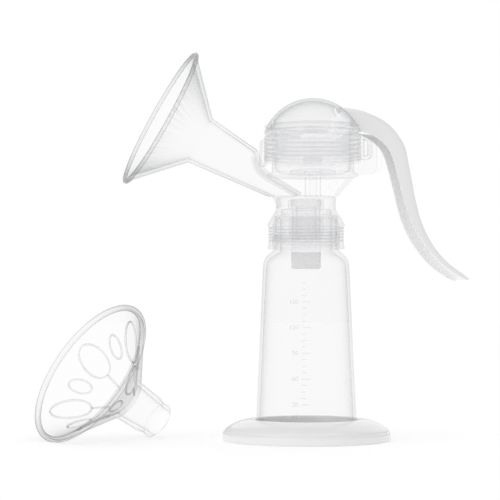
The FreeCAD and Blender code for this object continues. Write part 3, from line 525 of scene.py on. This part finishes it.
def make_graduation():
    """Make the raised scale: a number every 30 ml and short ticks between."""
    numbers, step_ml, step_z = 5, 30, 14.2
    first_z = 21.5
    relief = 0.16
    tick_height = 0.4
    parts = 4
    flats = []
    for number in range(numbers):
        height = first_z + step_z * number
        flats.append(text_mesh(str(step_ml * (number + 1)), 3.6, -1.6, height, relief))
        for part in range(parts):
            up = height + part * step_z / parts
            across, width = (1.5, 2.4) if part else (2.5, 5.0)
            flats.append(tick_mesh(across, up, width, tick_height, 2 * relief))
    flats.append(text_mesh("ml", 3.2, -2.2, first_z - 6.5, relief))
    build = bmesh.new()
    for flat in flats:
        build.from_mesh(flat)
    mesh = bpy.data.meshes.new("graduation_marks")
    build.to_mesh(mesh)
    build.free()
    wrap_on_bottle(mesh, GRADUATION_FACING)
    piece = new_piece("graduation_marks", mesh, MARKS)
    place_piece(piece, "bottle", "bottle_clear")


def make_bottle_group():
    """Make the bottle with its thread and its graduation."""
    make_bottle()
    ridge = helix_ridge("bottle_thread", NECK - 0.2, NECK + 1.0, 113.4, BOTTLE_CLEAR)
    place_piece(ridge, "bottle", "bottle_clear")
    make_graduation()


# Seal ring, collar and valve.

def make_seal():
    """Make the flat ring between the bottle's mouth and the collar."""
    low, high = SEAL_LOW.z, SEAL_HIGH.z
    outline = rounded([(NECK_BORE, low, 0.4), (NECK, low, 0.4), (NECK, high, 0.4), (NECK_BORE, high, 0.4)])
    piece = lathe("seal_ring", outline, UPRIGHT, MILKY, 96)
    place_piece(piece, "seal", "milky_silicone", "bottle_seal_ring")


def make_collar():
    """Make the neck, the threaded skirt and its lines, the spigot and the milk well."""
    low, top = COLLAR_LOW.z, COLLAR_HIGH.z
    skirt, bore = 21.9, 19.1
    well, spigot, spigot_bore, spigot_end = 8.7, 8.2, 5.9, 113.5
    cavity, seat = 14.4, 18.1
    ceiling = SEAL_HIGH.z
    outline = rounded([
        (bore, low, 0.4), (skirt, low, 0.6), (skirt, low + 1.8, 0.3), (skirt - 0.5, low + 2.2, 0.3),
        (skirt - 0.5, 121.0, 0.3), (skirt, 121.5, 0.3), (skirt, 123.0, 1.6),
        (20.2, 126.0, 2.4), (17.3, 130.2, 2.4), (16.9, 134.0, 4.0), (17.3, top, 1.4), (0, top, 0),
        (0, top - WALL, 0), (well, top - WALL, 0.3), (well, 132.8, 0.4), (spigot_bore, 132.8, 0.4),
        (spigot_bore, spigot_end, 0.3), (spigot, spigot_end, 0.3), (spigot, 131.2, 0.5),
        (cavity, 131.2, 0.5), (cavity, ceiling, 0.3),
        (seat, ceiling, 0.3), (seat, 124.2, 0.3), (bore, 123.0, 0.3),
    ])
    piece = lathe("collar_shell", outline, UPRIGHT, FROSTED, 144, 40)
    place_piece(piece, "pump", "clear_body", "bottle_collar")
    ridge = helix_ridge("collar_thread", bore + 0.2, bore - 1.0, 111.2, FROSTED)
    place_piece(ridge, "pump", "clear_body")
    sleeve = rounded([
        (10.3, top - WALL, 0.2), (10.3, 131.0, 1.8), (well, 131.0, 0.6), (well, top - WALL, 0.2),
    ])
    place_piece(lathe("milk_well", sleeve, UPRIGHT, SLEEVE, 96, 40), "pump", "clear_body")
    line_in, line_out, line_half = skirt - 0.7, skirt - 0.35, 0.35
    for number in range(5):
        up = 113.4 + 1.8 * number
        line = [(line_in, up - line_half), (line_out, up), (line_in, up + line_half)]
        place_piece(lathe(f"skirt_line_{number + 1}", line, UPRIGHT, RINGED, 128, 30), "pump", "clear_body")


def valve_ring(build, up, wide, deep):
    """Return one ring of the valve, from a circle to a flat rounded slot."""
    turns = 64
    squareness = 0.55
    power = 1 - squareness * (1 - min(1.0, deep / wide))
    points = []
    for number in range(turns):
        angle = math.tau * number / turns
        x = math.copysign(abs(math.cos(angle)) ** power, math.cos(angle)) * wide
        y = math.copysign(abs(math.sin(angle)) ** power, math.sin(angle)) * deep
        points.append((x, y, up))
    return add_points(build, points)


def valve_piece(name, levels, material):
    """Return a closed piece of the valve through (height, half width, half depth) levels."""
    build = bmesh.new()
    rings = [valve_ring(build, *level) for level in levels]
    for near, far in zip(rings, rings[1:]):
        join_rings(build, near, far)
    build.faces.new(rings[0])
    build.faces.new(rings[-1])
    return new_piece(name, finish_mesh(name, build), material, 40)


def make_valve():
    """Make the duckbill valve: a round sleeve that flattens into two lips."""
    low, high = VALVE_LOW.z, VALVE_HIGH.z
    sleeve, half_width, lip = VALVE_HIGH.x, 8.5, 1.3
    bore = 8.3
    split = 105.5
    taper_top, taper_end = 113.0, low + 0.5
    steps, pinch = 12, 1.6
    upper = [
        (114.0, bore, bore), (high, bore, bore), (high, sleeve, sleeve), (high - 0.4, sleeve, sleeve),
        (115.4, sleeve, sleeve), (114.6, sleeve - 0.4, sleeve - 0.4), (113.4, 8.7, 8.6),
    ]
    lower = []
    for step in range(steps + 1):
        share = step / steps
        height = taper_top + (taper_end - taper_top) * share
        depth = half_width + (lip - half_width) * (1 - (1 - share) ** pinch)
        (upper if height > split else lower).append((height, half_width, depth))
    lower = [upper[-1]] + lower + [
        (low + 0.3, half_width - 0.3, lip - 0.2), (low + 0.1, half_width - 0.9, lip - 0.4),
        (low, half_width - 1.7, lip - 0.8),
    ]
    place_piece(valve_piece("valve_sleeve", upper, SLEEVE), "pump", "milky_silicone", "duckbill_valve")
    place_piece(valve_piece("valve_lips", lower, VALVE), "pump", "milky_silicone")


# Funnel, duct and chamber.

RIM = 41.8
CONE_LENGTH = 26.8
THROAT_RADIUS = 14.1
TAPER = 0.1
TAPER_LENGTH = 64.0
NECK_TOP = 138.3


def make_funnel():
    """Make the funnel and its milk duct as one shell, cut by the duct's roof and the neck's top."""
    far = THROAT_RADIUS - TAPER * TAPER_LENGTH
    outside = rounded([
        (0, -TAPER_LENGTH, 0), (far, -TAPER_LENGTH, 0), (THROAT_RADIUS, 0, 2.0),
        (RIM - 1.0, CONE_LENGTH - 1.2, 0.4), (RIM - 2.2, CONE_LENGTH, 0.4), (0, CONE_LENGTH, 0),
    ], 7)
    inside = rounded([
        (0, -TAPER_LENGTH - 2, 0), (far - WALL, -TAPER_LENGTH - 2, 0), (THROAT_RADIUS - WALL, 1.0, 2.4),
        (RIM - 2.6, CONE_LENGTH + 0.4, 0), (0, CONE_LENGTH + 0.4, 0),
    ], 7)
    piece = lathe("funnel_shell", outside, FUNNEL_FRAME, CLEAR, 192, 50)
    core = lathe("funnel_core", inside, FUNNEL_FRAME, CLEAR, 192, 50)
    roof = [(-31.8, 173.0), (-28.4, 158.0), (-26.6, 154.0), (-22.8, 150.4), (-1.3, NECK_TOP)]
    inner_roof = [(-33.4, 173.0), (-30.0, 157.4), (-28.0, 153.0), (-23.8, 148.9), (-2.9, NECK_TOP - 1.0)]
    around = [(-60.0, 260.0)] + roof + [(-130.0, NECK_TOP)] + [(-130.0, 260.0)]
    within = [(-60.0, 265.0)] + inner_roof + [(-130.0, NECK_TOP - 1.0)] + [(-130.0, 265.0)]
    carve(piece, slab("roof_block", around, -60, 60, CLEAR), "INTERSECT")
    carve(core, slab("inner_roof_block", within, -60, 60, CLEAR), "INTERSECT")
    carve(piece, core)
    piece.data.set_sharp_from_angle(angle=math.radians(50))
    roll = lathe("funnel_lip", arc((RIM - 1.2, CONE_LENGTH - 1.1), 1.2, 0, 337.5, 15), FUNNEL_FRAME, LIP, 192)
    place_piece(roll, "pump", "clear_body")
    place_piece(piece, "pump", "clear_body", "breast_funnel", "milk_duct")


def make_duct_heel():
    """Make the heel that carries the duct's lower wall into the neck."""
    turns, levels = 24, 10
    drop, half_turn = 6.5, 48
    neck, bulge = 17.0, 3.0
    build = bmesh.new()
    rows = []
    for level in range(levels + 1):
        share = level / levels
        points = []
        for number in range(turns + 1):
            angle = math.radians(180 - half_turn + 2 * half_turn * number / turns)
            across = math.cos(math.radians(-90 + 180 * number / turns))
            radius = neck + max(bulge * (1 - share) ** 2 * across ** 1.5, 0.0)
            points.append((radius * math.cos(angle), radius * math.sin(angle), NECK_TOP - drop * share))
        rows.append(add_points(build, points))
    for near, far in zip(rows, rows[1:]):
        for number in range(turns):
            build.faces.new((near[number], near[number + 1], far[number + 1], far[number]))
    piece = new_piece("duct_heel", finish_mesh("duct_heel", build), FROSTED, 60)
    place_piece(piece, "pump", "clear_body")


def make_web_marks():
    """Make the thin web left of the stem and the round moulding marks on the web's face."""
    plate = [(-0.2, 149.9), (-21.3, 149.9), (-1.2, NECK_TOP + 0.6), (-0.2, NECK_TOP + 0.4)]
    place_piece(slab("web_left", plate, -0.8, 0.8, INNER), "pump", "clear_body")
    marks = (("web_mark_left", -5.2, 145.4, 2.0), ("web_mark_right", 16.2, 144.6, 2.9))
    low, high = 0.7, 1.05
    for name, across, up, radius in marks:
        inner = radius - 0.35
        ring = rounded([(inner, low, 0), (radius, low, 0), (radius, high, 0.1), (inner, high, 0.1)])
        place = Matrix.Translation((across, 0, up)) @ Matrix.Rotation(math.pi / 2, 4, "X")
        place_piece(lathe(name, ring, place, CLEAR, 48), "pump", "clear_body")


def make_chamber():
    """Make the bowl that holds the cup: three ridges round its wall and a stem under its floor."""
    low, rim = 150.0, BOWL_HIGH.z
    bowl, ridge, flange = 23.5, 25.4, 26.2
    stem = 2.25
    corners = [
        (stem, BOWL_LOW.z, 0), (4.6, BOWL_LOW.z, 0), (4.6, low, 1.5), (flange, low, 0.7),
        (flange, low + WALL, 0.6), (bowl, low + WALL, 0.8),
    ]
    for number in range(3):
        ring = 163.0 + 4.6 * number
        corners += [(bowl, ring, 0.2), (ridge, ring + 0.1, 0.5)]
        corners += [(ridge, ring + 1.2, 0.5), (bowl, ring + 1.5, 0.2)]
    corners += [
        (bowl, rim, 0.5), (bowl - WALL, rim, 0.5), (bowl - WALL, low + WALL, 4.0), (stem, low + WALL, 0.4),
    ]
    piece = lathe("chamber_bowl", rounded(corners), CHAMBER_FRAME, INNER, 144, 40)
    place_piece(piece, "pump", "clear_body", "pump_chamber")


def make_stem_mound():
    """Make the low mound on the bowl's floor and the eight-sided nut round the cup's boss."""
    mound = rounded([(5.0, 151.7, 0), (13.4, 151.7, 0), (13.0, 153.6, 0.9), (5.0, 153.6, 0)])
    place_piece(lathe("floor_mound", mound, CHAMBER_FRAME, INNER, 96), "pump", "clear_body")
    nut = rounded([(5.2, 157.2, 0), (5.8, 157.2, 0.3), (5.8, 161.4, 1.4), (5.2, 161.4, 0)])
    place_piece(lathe("boss_nut", nut, CHAMBER_FRAME, FROSTED, 8), "rod", "milky_silicone")


def make_diaphragm():
    """Make the ribbed cup in place of the CAD cup; it rides on no body."""
    low, top = CUP_LOW.z, CUP_HIGH.z
    rim = top - 1.8
    wall_outer, skin = 20.6, 1.4
    ribs, rib_height = 5, 0.75
    side = []
    start, end = low + 4.6, rim - 0.4
    steps = ribs * 8
    for step in range(steps + 1):
        share = step / steps
        wave = rib_height * math.cos(math.tau * ribs * share)
        side.append((wall_outer - 0.8 + wave, start + (end - start) * share))
    outline = [(0, low)] + arc((15.0, low + 4.6), 4.6, -90, -8, 6) + side
    outline += [(23.8, rim), (24.0, rim + 0.4), (24.0, top - 0.4), (23.6, top), (19.0, top)]
    outline += [(r - skin, up) for r, up in reversed(side)]
    outline += [(14.6, low + skin + 0.4), (12.6, low + skin)]
    outline += [(6.0, low + skin + 1.9), (5.0, low + skin + 2.4)]
    outline += [(5.0, 159.6), (3.4, 161.4), (2.2, 161.4), (2.2, 160.0), (0, 160.0)]
    piece = lathe("diaphragm_cup", outline, CHAMBER_FRAME, MILKY, 128, 50)
    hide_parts("diaphragm")
    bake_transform(piece)


# Dome cap.

DOME = 29.5
OPENING_HIGH = Vector((15.4, 0, 192.0))
OPENING_LOW = Vector((30.8, 0, 174.6))


def make_cap():
    """Make the dome and its plain skirt, both cut open on a slant for the handle."""
    top = CAP_HIGH.z
    skirt_low, skirt_top = 158.0, 176.0
    skirt = 28.0
    seat_in, seat_out = 22.4, 23.9
    centre = top - DOME
    inner = DOME - WALL
    clamp = CUP_HIGH.z
    start = math.degrees(math.asin((skirt_top - centre) / DOME))
    dome = arc((0, centre), DOME, start, 90, 36)
    dome += arc((0, centre), inner, 90, math.degrees(math.acos(seat_in / inner)), 22)
    dome += [(seat_in, clamp), (seat_out, clamp)]
    dome += arc((0, centre), inner, math.degrees(math.acos(seat_out / inner)), start, 5)
    edge = math.radians(start)
    band = [(skirt - WALL, skirt_low + 0.3), (skirt - WALL + 0.3, skirt_low), (skirt - 0.3, skirt_low)]
    band += [(DOME * math.cos(edge), skirt_top), (inner * math.cos(edge), skirt_top)]
    band += [(skirt - WALL, skirt_top - 3)]
    for name, outline, material, nodes in (
        ("cap_dome", dome, DOMED, ("dome_cap",)),
        ("cap_skirt", band, BANDED, ()),
    ):
        piece = lathe(name, outline, CHAMBER_FRAME, material, 160, 40)
        carve(piece, opening_cutter())
        piece.data.set_sharp_from_angle(angle=math.radians(EDGE_ANGLE))
        place_piece(piece, "pump", "clear_body", *nodes)


def make_cap_rings():
    """Make the moulded ring lines that run round the cap's skirt."""
    skirt, upper, upper_start = 28.0, 27.6, 176
    root, crest = 0.3, 0.12
    half_root, half_crest = 0.5, 0.1
    heights = (160.3, 161.9, 164.3, 166.8, 169.4, 172.1, 175.2, 178.6)
    for number, up in enumerate(heights):
        radius = skirt if up < upper_start else upper
        outline = [
            (radius - root, up - half_root), (radius + crest, up - half_crest),
            (radius + crest, up + half_crest), (radius - root, up + half_root),
        ]
        ring = lathe(f"cap_ring_{number + 1}", outline, CHAMBER_FRAME, RINGED, 160, 30)
        carve(ring, opening_cutter())
        place_piece(ring, "pump", "clear_body")


def opening_cutter():
    """Return the block beyond the cap's slanted opening."""
    along = (OPENING_LOW - OPENING_HIGH).normalized()
    outward = Vector((-along.z, 0, along.x))
    corners = [OPENING_HIGH - along * 30, OPENING_LOW]
    corners += [OPENING_LOW + Vector((30, 0, 0)), OPENING_HIGH + outward * 60]
    return slab("cutter", [(c.x, c.z) for c in corners], -40, 40, CLEAR)


def make_cap_lugs():
    """Make the clip on the funnel side and the pull loop on the handle side."""
    clip = rounded([(-27.0, 155.2, 1.2), (-24.0, 155.2, 0.5), (-24.0, 170.4, 0.5), (-26.2, 170.4, 1.6)])
    place_piece(slab("side_clip", clip, -4.4, 4.4, CLEAR, 0.6), "pump", "clear_body")
    outer = rounded([(31.4, 160.3, 0.2), (38.9, 160.3, 3.0), (38.9, 172.5, 3.2), (31.4, 174.4, 0.2)])
    loop = slab("pull_loop", outer, -3.2, 3.2, CLEAR)
    window = rounded([(33.9, 162.2, 0.3), (37.3, 162.2, 1.6), (37.3, 171.2, 1.8), (33.9, 172.4, 0.3)])
    carve(loop, slab("cutter", window, -9, 9, CLEAR))
    place_piece(round_edges(loop, 0.4), "pump", "clear_body")


# Handle.

BACK_LINE = [
    (18.8, 189.8), (25.6, 189.3), (32.6, 188.1), (41.5, 184.8), (47.6, 181.2), (53.2, 175.8), (58.2, 167.5),
    (60.4, 157.2), (62.3, 147.4), (64.2, 137.5), (66.9, 126.6), (71.0, 116.4), (76.4, 107.8), (83.2, 100.6),
    (92.0, 94.4), (95.0, 91.9),
]
RIM_LINE = [
    (31.4, 175.8), (32.4, 175.7), (34.4, 175.2), (37.6, 173.8), (42.0, 171.2), (46.0, 167.6), (48.9, 162.8),
    (51.6, 154.6), (54.0, 145.6), (56.4, 136.1), (59.9, 125.4), (65.2, 115.2), (72.2, 105.8), (80.0, 98.4),
    (89.0, 92.6), (93.2, 90.8),
]


def handle_half_width(height):
    """Return half the handle's width at a height."""
    points = [(90.6, 12.5), (104.0, 11.7), (115.0, 10.3), (126.0, 9.0), (140.0, 7.9), (194.8, 7.7)]
    for (low, low_half), (high, high_half) in zip(points, points[1:]):
        if height <= high:
            share = max(0.0, (height - low) / (high - low))
            return low_half + (high_half - low_half) * share
    return points[-1][1]


def spline(points, share):
    """Return a smooth point on a Catmull-Rom curve through the given points."""
    count = len(points) - 1
    spot = min(share * count, count - 1e-9)
    step = int(spot)
    local = spot - step
    p = [Vector(points[max(0, min(count, step + k))]) for k in (-1, 0, 1, 2)]
    a = 2 * p[1]
    b = p[2] - p[0]
    c = 2 * p[0] - 5 * p[1] + 4 * p[2] - p[3]
    d = -p[0] + 3 * p[1] - 3 * p[2] + p[3]
    return 0.5 * (a + b * local + c * local ** 2 + d * local ** 3)


def channel_section(half, depth, skin, sides):
    """Return one rounded U section as (across, rise) points, outside then inside."""
    side_power, crown_power = 0.42, 0.62
    points = []
    for inset, order in ((0.0, range(sides + 1)), (skin, range(sides, -1, -1))):
        for number in order:
            angle = math.pi * number / sides
            x = math.copysign(abs(math.cos(angle)) ** side_power, math.cos(angle)) * (half - inset)
            y = abs(math.sin(angle)) ** crown_power * (depth - inset)
            points.append((x, y))
    return points


def make_handle_shell():
    """Make the handle's channel, lofted between its back line and its rim line."""
    stations, sides, skin = 90, 22, 1.5
    tip_steps, tip_narrowing = 14, 0.1
    thickest = 0.45
    build = bmesh.new()
    rows = []
    for station in range(stations + 1):
        share = station / stations
        back, rim = spline(BACK_LINE, share), spline(RIM_LINE, share)
        out = back - rim
        depth = out.length
        out.normalize()
        height = back.y
        half = handle_half_width(height)
        fade = min(1.0, (1 - share) * tip_steps)
        half *= 1 - tip_narrowing + tip_narrowing * math.sqrt(fade)
        points = []
        for across, rise in channel_section(half, depth, min(skin, thickest * depth), sides):
            spot = rim + out * rise
            points.append((spot.x, across, spot.y))
        rows.append(add_points(build, points))
    count = len(rows[0])
    for near, far in zip(rows, rows[1:]):
        join_rings(build, near, far)
    for row in (rows[0], rows[-1]):
        for number in range(sides):
            build.faces.new((row[number], row[number + 1], row[count - 2 - number], row[count - 1 - number]))
    piece = new_piece("handle_shell", finish_mesh("handle_shell", build), WHITE, 50)
    place_piece(piece, "handle", "white_gloss", "handle")


def make_handle_arm():
    """Make the spine round the pivot, the arm into the cap and the slotted tongue."""
    spine = rounded([
        (14.4, 172.0, 1.0), (20.0, 172.0, 2.0), (26.0, 179.0, 3.0), (33.0, 175.4, 1.5), (40.5, 174.6, 1.5),
        (44.0, 178.0, 1.0), (41.0, 182.6, 1.0), (22.0, 188.4, 1.0), (18.2, 184.2, 2.0), (14.4, 183.8, 2.4),
    ])
    place_piece(slab("handle_spine", spine, -3.5, 3.5, ARM_WHITE_PAINTED_GLOW, 0.5), "handle", "white_gloss")
    tongue = rounded([
        (-2.2, 172.0, 0.8), (18.4, 172.0, 1.2), (18.4, 181.6, 0.3),
        (15.0, 181.6, 0.3), (15.0, 174.4, 1.0), (-2.2, 174.4, 0.8),
    ])
    fork = slab("handle_tongue", tongue, -5.0, 5.0, ARM_WHITE_PAINTED_GLOW)
    slot = [(-6.0, 168.0), (9.2, 168.0), (9.2, 178.0), (-6.0, 178.0)]
    carve(fork, slab("cutter", slot, -2.6, 2.6, WHITE))
    place_piece(round_edges(fork, 0.35), "handle", "white_gloss")


# Massage cushion.

THROAT_IN = 10.6
THROAT_FRONT = 28.8
FRONT_START = Vector((THROAT_IN, THROAT_FRONT))
FRONT_END = Vector((CUSHION_RIM - 4.4, CUSHION_LENGTH - 2.2))
FRONT_SLANT = (FRONT_END - FRONT_START).length
FRONT_NORMAL = Vector((FRONT_START.y - FRONT_END.y, FRONT_END.x - FRONT_START.x)).normalized()
FIRST_PETAL = math.radians(24)
PETAL_ROUNDING = 0.4
# Each petal's turn from the first, middle along the slant, half length, half width and height.
PETALS = [(math.tau * number / 5, 0.58, 11.5, 7.0, 0.9) for number in range(5)]
PETALS += [(math.tau * (number + 0.5) / 5, 0.54, 6.8, 3.6, 0.6) for number in range(5)]


def petal_height(angle, share):
    """Return how far the cushion's front stands proud at an angle and a share of its slant."""
    radius = FRONT_START.lerp(FRONT_END, share).x
    height = 0.0
    for facing, middle, along, across, dome in PETALS:
        turn = (angle - FIRST_PETAL - facing + math.pi) % math.tau - math.pi
        spread = math.hypot((share - middle) * FRONT_SLANT / along, turn * radius / across)
        if spread < 1:
            height = max(height, dome * (1 - spread ** 2) ** PETAL_ROUNDING)
    return height


def make_cushion():
    """Make the cushion's skin: a plain back, a front with raised petals, and the nozzle's bore."""
    rim, length = CUSHION_RIM, CUSHION_LENGTH
    turns, rows = 420, 84
    fade = 12
    back = rounded([
        (CUSHION_NOZZLE, 0, 0.6), (10.7, 8.5, 0.3), (11.5, 9.0, 0.3), (12.4, 27.0, 2.5),
        (rim - 3.6, length - 4.6, 0),
    ], 5) + [(rim - 2.0, length - 3.4), (rim - 2.0, length - 2.0)]

    def outline_at(angle):
        """Return the closed outline at an angle, with the front raised where a petal stands."""
        ring = list(back)
        for step in range(rows, -1, -1):
            share = step / rows
            proud = petal_height(angle, share) * min(1.0, share * fade, (1 - share) * fade)
            spot = FRONT_START.lerp(FRONT_END, share) + FRONT_NORMAL * proud
            ring.append((spot.x, spot.y))
        return ring + [(THROAT_IN - 0.4, THROAT_FRONT - 2.8), (CUSHION_NOZZLE - 1.8, 0)]

    piece = turned("cushion_skin", outline_at, CUSHION_FRAME, SILICONE, turns, 60)
    place_piece(piece, "cushion", "clear_silicone", "massage_cushion")


def make_cushion_roll():
    """Make the thick rolled lip round the rim."""
    roll = arc((CUSHION_RIM - 1.8, CUSHION_LENGTH - 1.8), 1.8, 0, 342, 19)
    place_piece(lathe("cushion_roll", roll, CUSHION_FRAME, CUSHION_LINE, 240), "cushion", "clear_silicone")


def petal_path(facing, middle, along, across):
    """Return (place, outward normal) pairs round a petal's oval edge on the cushion's front."""
    steps = 56
    path = []
    for step in range(steps):
        turn = math.tau * step / steps
        spot = FRONT_START.lerp(FRONT_END, middle + along * math.cos(turn) / FRONT_SLANT)
        angle = FIRST_PETAL + facing + across * math.sin(turn) / spot.x
        outward = Vector((math.cos(angle), math.sin(angle), 0))
        place = outward * spot.x + Vector((0, 0, spot.y))
        path.append((place, outward * FRONT_NORMAL.x + Vector((0, 0, FRONT_NORMAL.y))))
    return path


def add_bead(build, path, thick):
    """Sweep a thin round bead along a closed path of (place, normal) pairs."""
    sides = 8
    rings = []
    for number, (place, normal) in enumerate(path):
        along = path[(number + 1) % len(path)][0] - path[number - 1][0]
        across = along.cross(normal).normalized()
        points = []
        for side in range(sides):
            turn = math.tau * side / sides
            points.append(place + (across * math.cos(turn) + normal * math.sin(turn)) * thick)
        rings.append(add_points(build, points, CUSHION_FRAME))
    for number, near in enumerate(rings):
        join_rings(build, near, rings[(number + 1) % len(rings)])


def make_petal_beads():
    """Make the raised bead round every petal and the thin rib from each large one to the throat."""
    margin, bead = 0.5, 0.55
    rib_half_width, rib, rib_share = 0.5, 0.35, 0.9
    build = bmesh.new()
    for facing, middle, along, across, _ in PETALS:
        add_bead(build, petal_path(facing, middle, along + margin, across + margin), bead)
    for facing, middle, along, _, _ in PETALS[:5]:
        root = 0.5 * (middle - along / FRONT_SLANT)
        add_bead(build, petal_path(facing, root, rib_share * root * FRONT_SLANT, rib_half_width), rib)
    piece = new_piece("petal_beads", finish_mesh("petal_beads", build), PETAL_EDGE, 60)
    place_piece(piece, "cushion", "clear_silicone")


# Nodes that are shown as they were made.

def dress_nodes():
    """Show the nodes that need no piece of their own."""
    for node in ("gusset_web", "handle_bracket", "pull_rod"):
        keep_node(node, INNER)
    keep_node("handle_pivot_pin", WHITE)


# Floor, light and camera.

FLOOR_SIZE = 6.0
LIGHT_SPREAD = math.radians(55)
WORLD_FILL = 0.62

def make_floor():
    """Make the pale floor."""
    material, tree, shader, _ = new_material("pale_floor")
    shader.inputs["Base Color"].default_value = (0.94, 0.94, 0.94, 1)
    shader.inputs["Specular IOR Level"].default_value = 0.0
    shader.inputs["Emission Color"].default_value = (1, 1, 1, 1)
    shader.inputs["Emission Strength"].default_value = 0.21
    add_grain(tree, shader, 8.0, 0.0, 0.85, 0.95)
    build = bmesh.new()
    bmesh.ops.create_grid(build, x_segments=1, y_segments=1, size=FLOOR_SIZE)
    mesh = bpy.data.meshes.new("floor")
    build.to_mesh(mesh)
    build.free()
    floor = new_piece("floor", mesh, material)


def add_light(name, place, power):
    """Add a wide, soft, distant light that shines from a place towards the object."""
    light = bpy.data.lights.new(name, "SUN")
    light.energy = power
    light.angle = LIGHT_SPREAD
    lamp = bpy.data.objects.new(name, light)
    lamp.location = place
    lamp.rotation_mode = "QUATERNION"
    lamp.rotation_quaternion = (-Vector(place)).to_track_quat("-Z", "Y")
    bpy.context.scene.collection.objects.link(lamp)


def make_light():
    """Make the pale world and the three soft lights."""
    world = bpy.data.worlds.new("studio")
    bpy.context.scene.world = world
    world.use_nodes = True
    tree = world.node_tree
    fill = tree.nodes["Background"]
    fill.inputs["Color"].default_value = (1, 1, 1, 1)
    fill.inputs["Strength"].default_value = WORLD_FILL
    seen = add_node(tree, "ShaderNodeBackground", Strength=1.0)
    seen.inputs["Color"].default_value = (1, 1, 1, 1)
    path = tree.nodes.new("ShaderNodeLightPath")
    pick = tree.nodes.new("ShaderNodeMixShader")
    tree.links.new(path.outputs["Is Camera Ray"], pick.inputs["Fac"])
    tree.links.new(fill.outputs[0], pick.inputs[1])
    tree.links.new(seen.outputs[0], pick.inputs[2])
    tree.links.new(pick.outputs[0], tree.nodes["World Output"].inputs["Surface"])
    add_light("top_light", (0.05, -0.1, 1.0), 0.38)
    add_light("left_light", (-0.9, -0.5, 0.5), 0.45)
    add_light("back_light", (0.4, 0.9, 0.6), 0.30)


CAMERA_AZIMUTH = math.radians(-15.2)
CAMERA_DISTANCE = 980.0
EYE_HEIGHT = 77.0
VIEW_WIDTH = 285.0
AIM_ACROSS = -32.0
AIM_HEIGHT = 108.0
# How many clear walls a ray may pass.
CLEAR_LAYERS = 64


def make_camera():
    """Place the camera as the photo was taken."""
    right = Vector((math.cos(CAMERA_AZIMUTH), math.sin(CAMERA_AZIMUTH), 0))
    back = Vector((math.sin(CAMERA_AZIMUTH), -math.cos(CAMERA_AZIMUTH), 0))
    place = back * CAMERA_DISTANCE + Vector((0, 0, EYE_HEIGHT))
    target = right * AIM_ACROSS + Vector((0, 0, AIM_HEIGHT))
    lens = bpy.data.cameras.new("camera")
    lens.lens = lens.sensor_width * CAMERA_DISTANCE / VIEW_WIDTH
    camera = bpy.data.objects.new("camera", lens)
    camera.location = place * MM
    camera.rotation_mode = "QUATERNION"
    camera.rotation_quaternion = (target - place).to_track_quat("-Z", "Y")
    bpy.context.scene.collection.objects.link(camera)
    bpy.context.scene.camera = camera


make_stand()
make_bottle_group()
make_seal()
make_collar()
make_valve()
make_funnel()
make_duct_heel()
make_web_marks()
make_chamber()
make_stem_mound()
make_diaphragm()
make_cap()
make_cap_rings()
make_cap_lugs()
make_handle_shell()
make_handle_arm()
make_cushion()
make_petal_beads()
make_cushion_roll()
dress_nodes()
make_floor()
make_light()
make_camera()
bpy.context.scene.view_settings.view_transform = "Standard"
bpy.context.scene.cycles.transparent_max_bounces = CLEAR_LAYERS
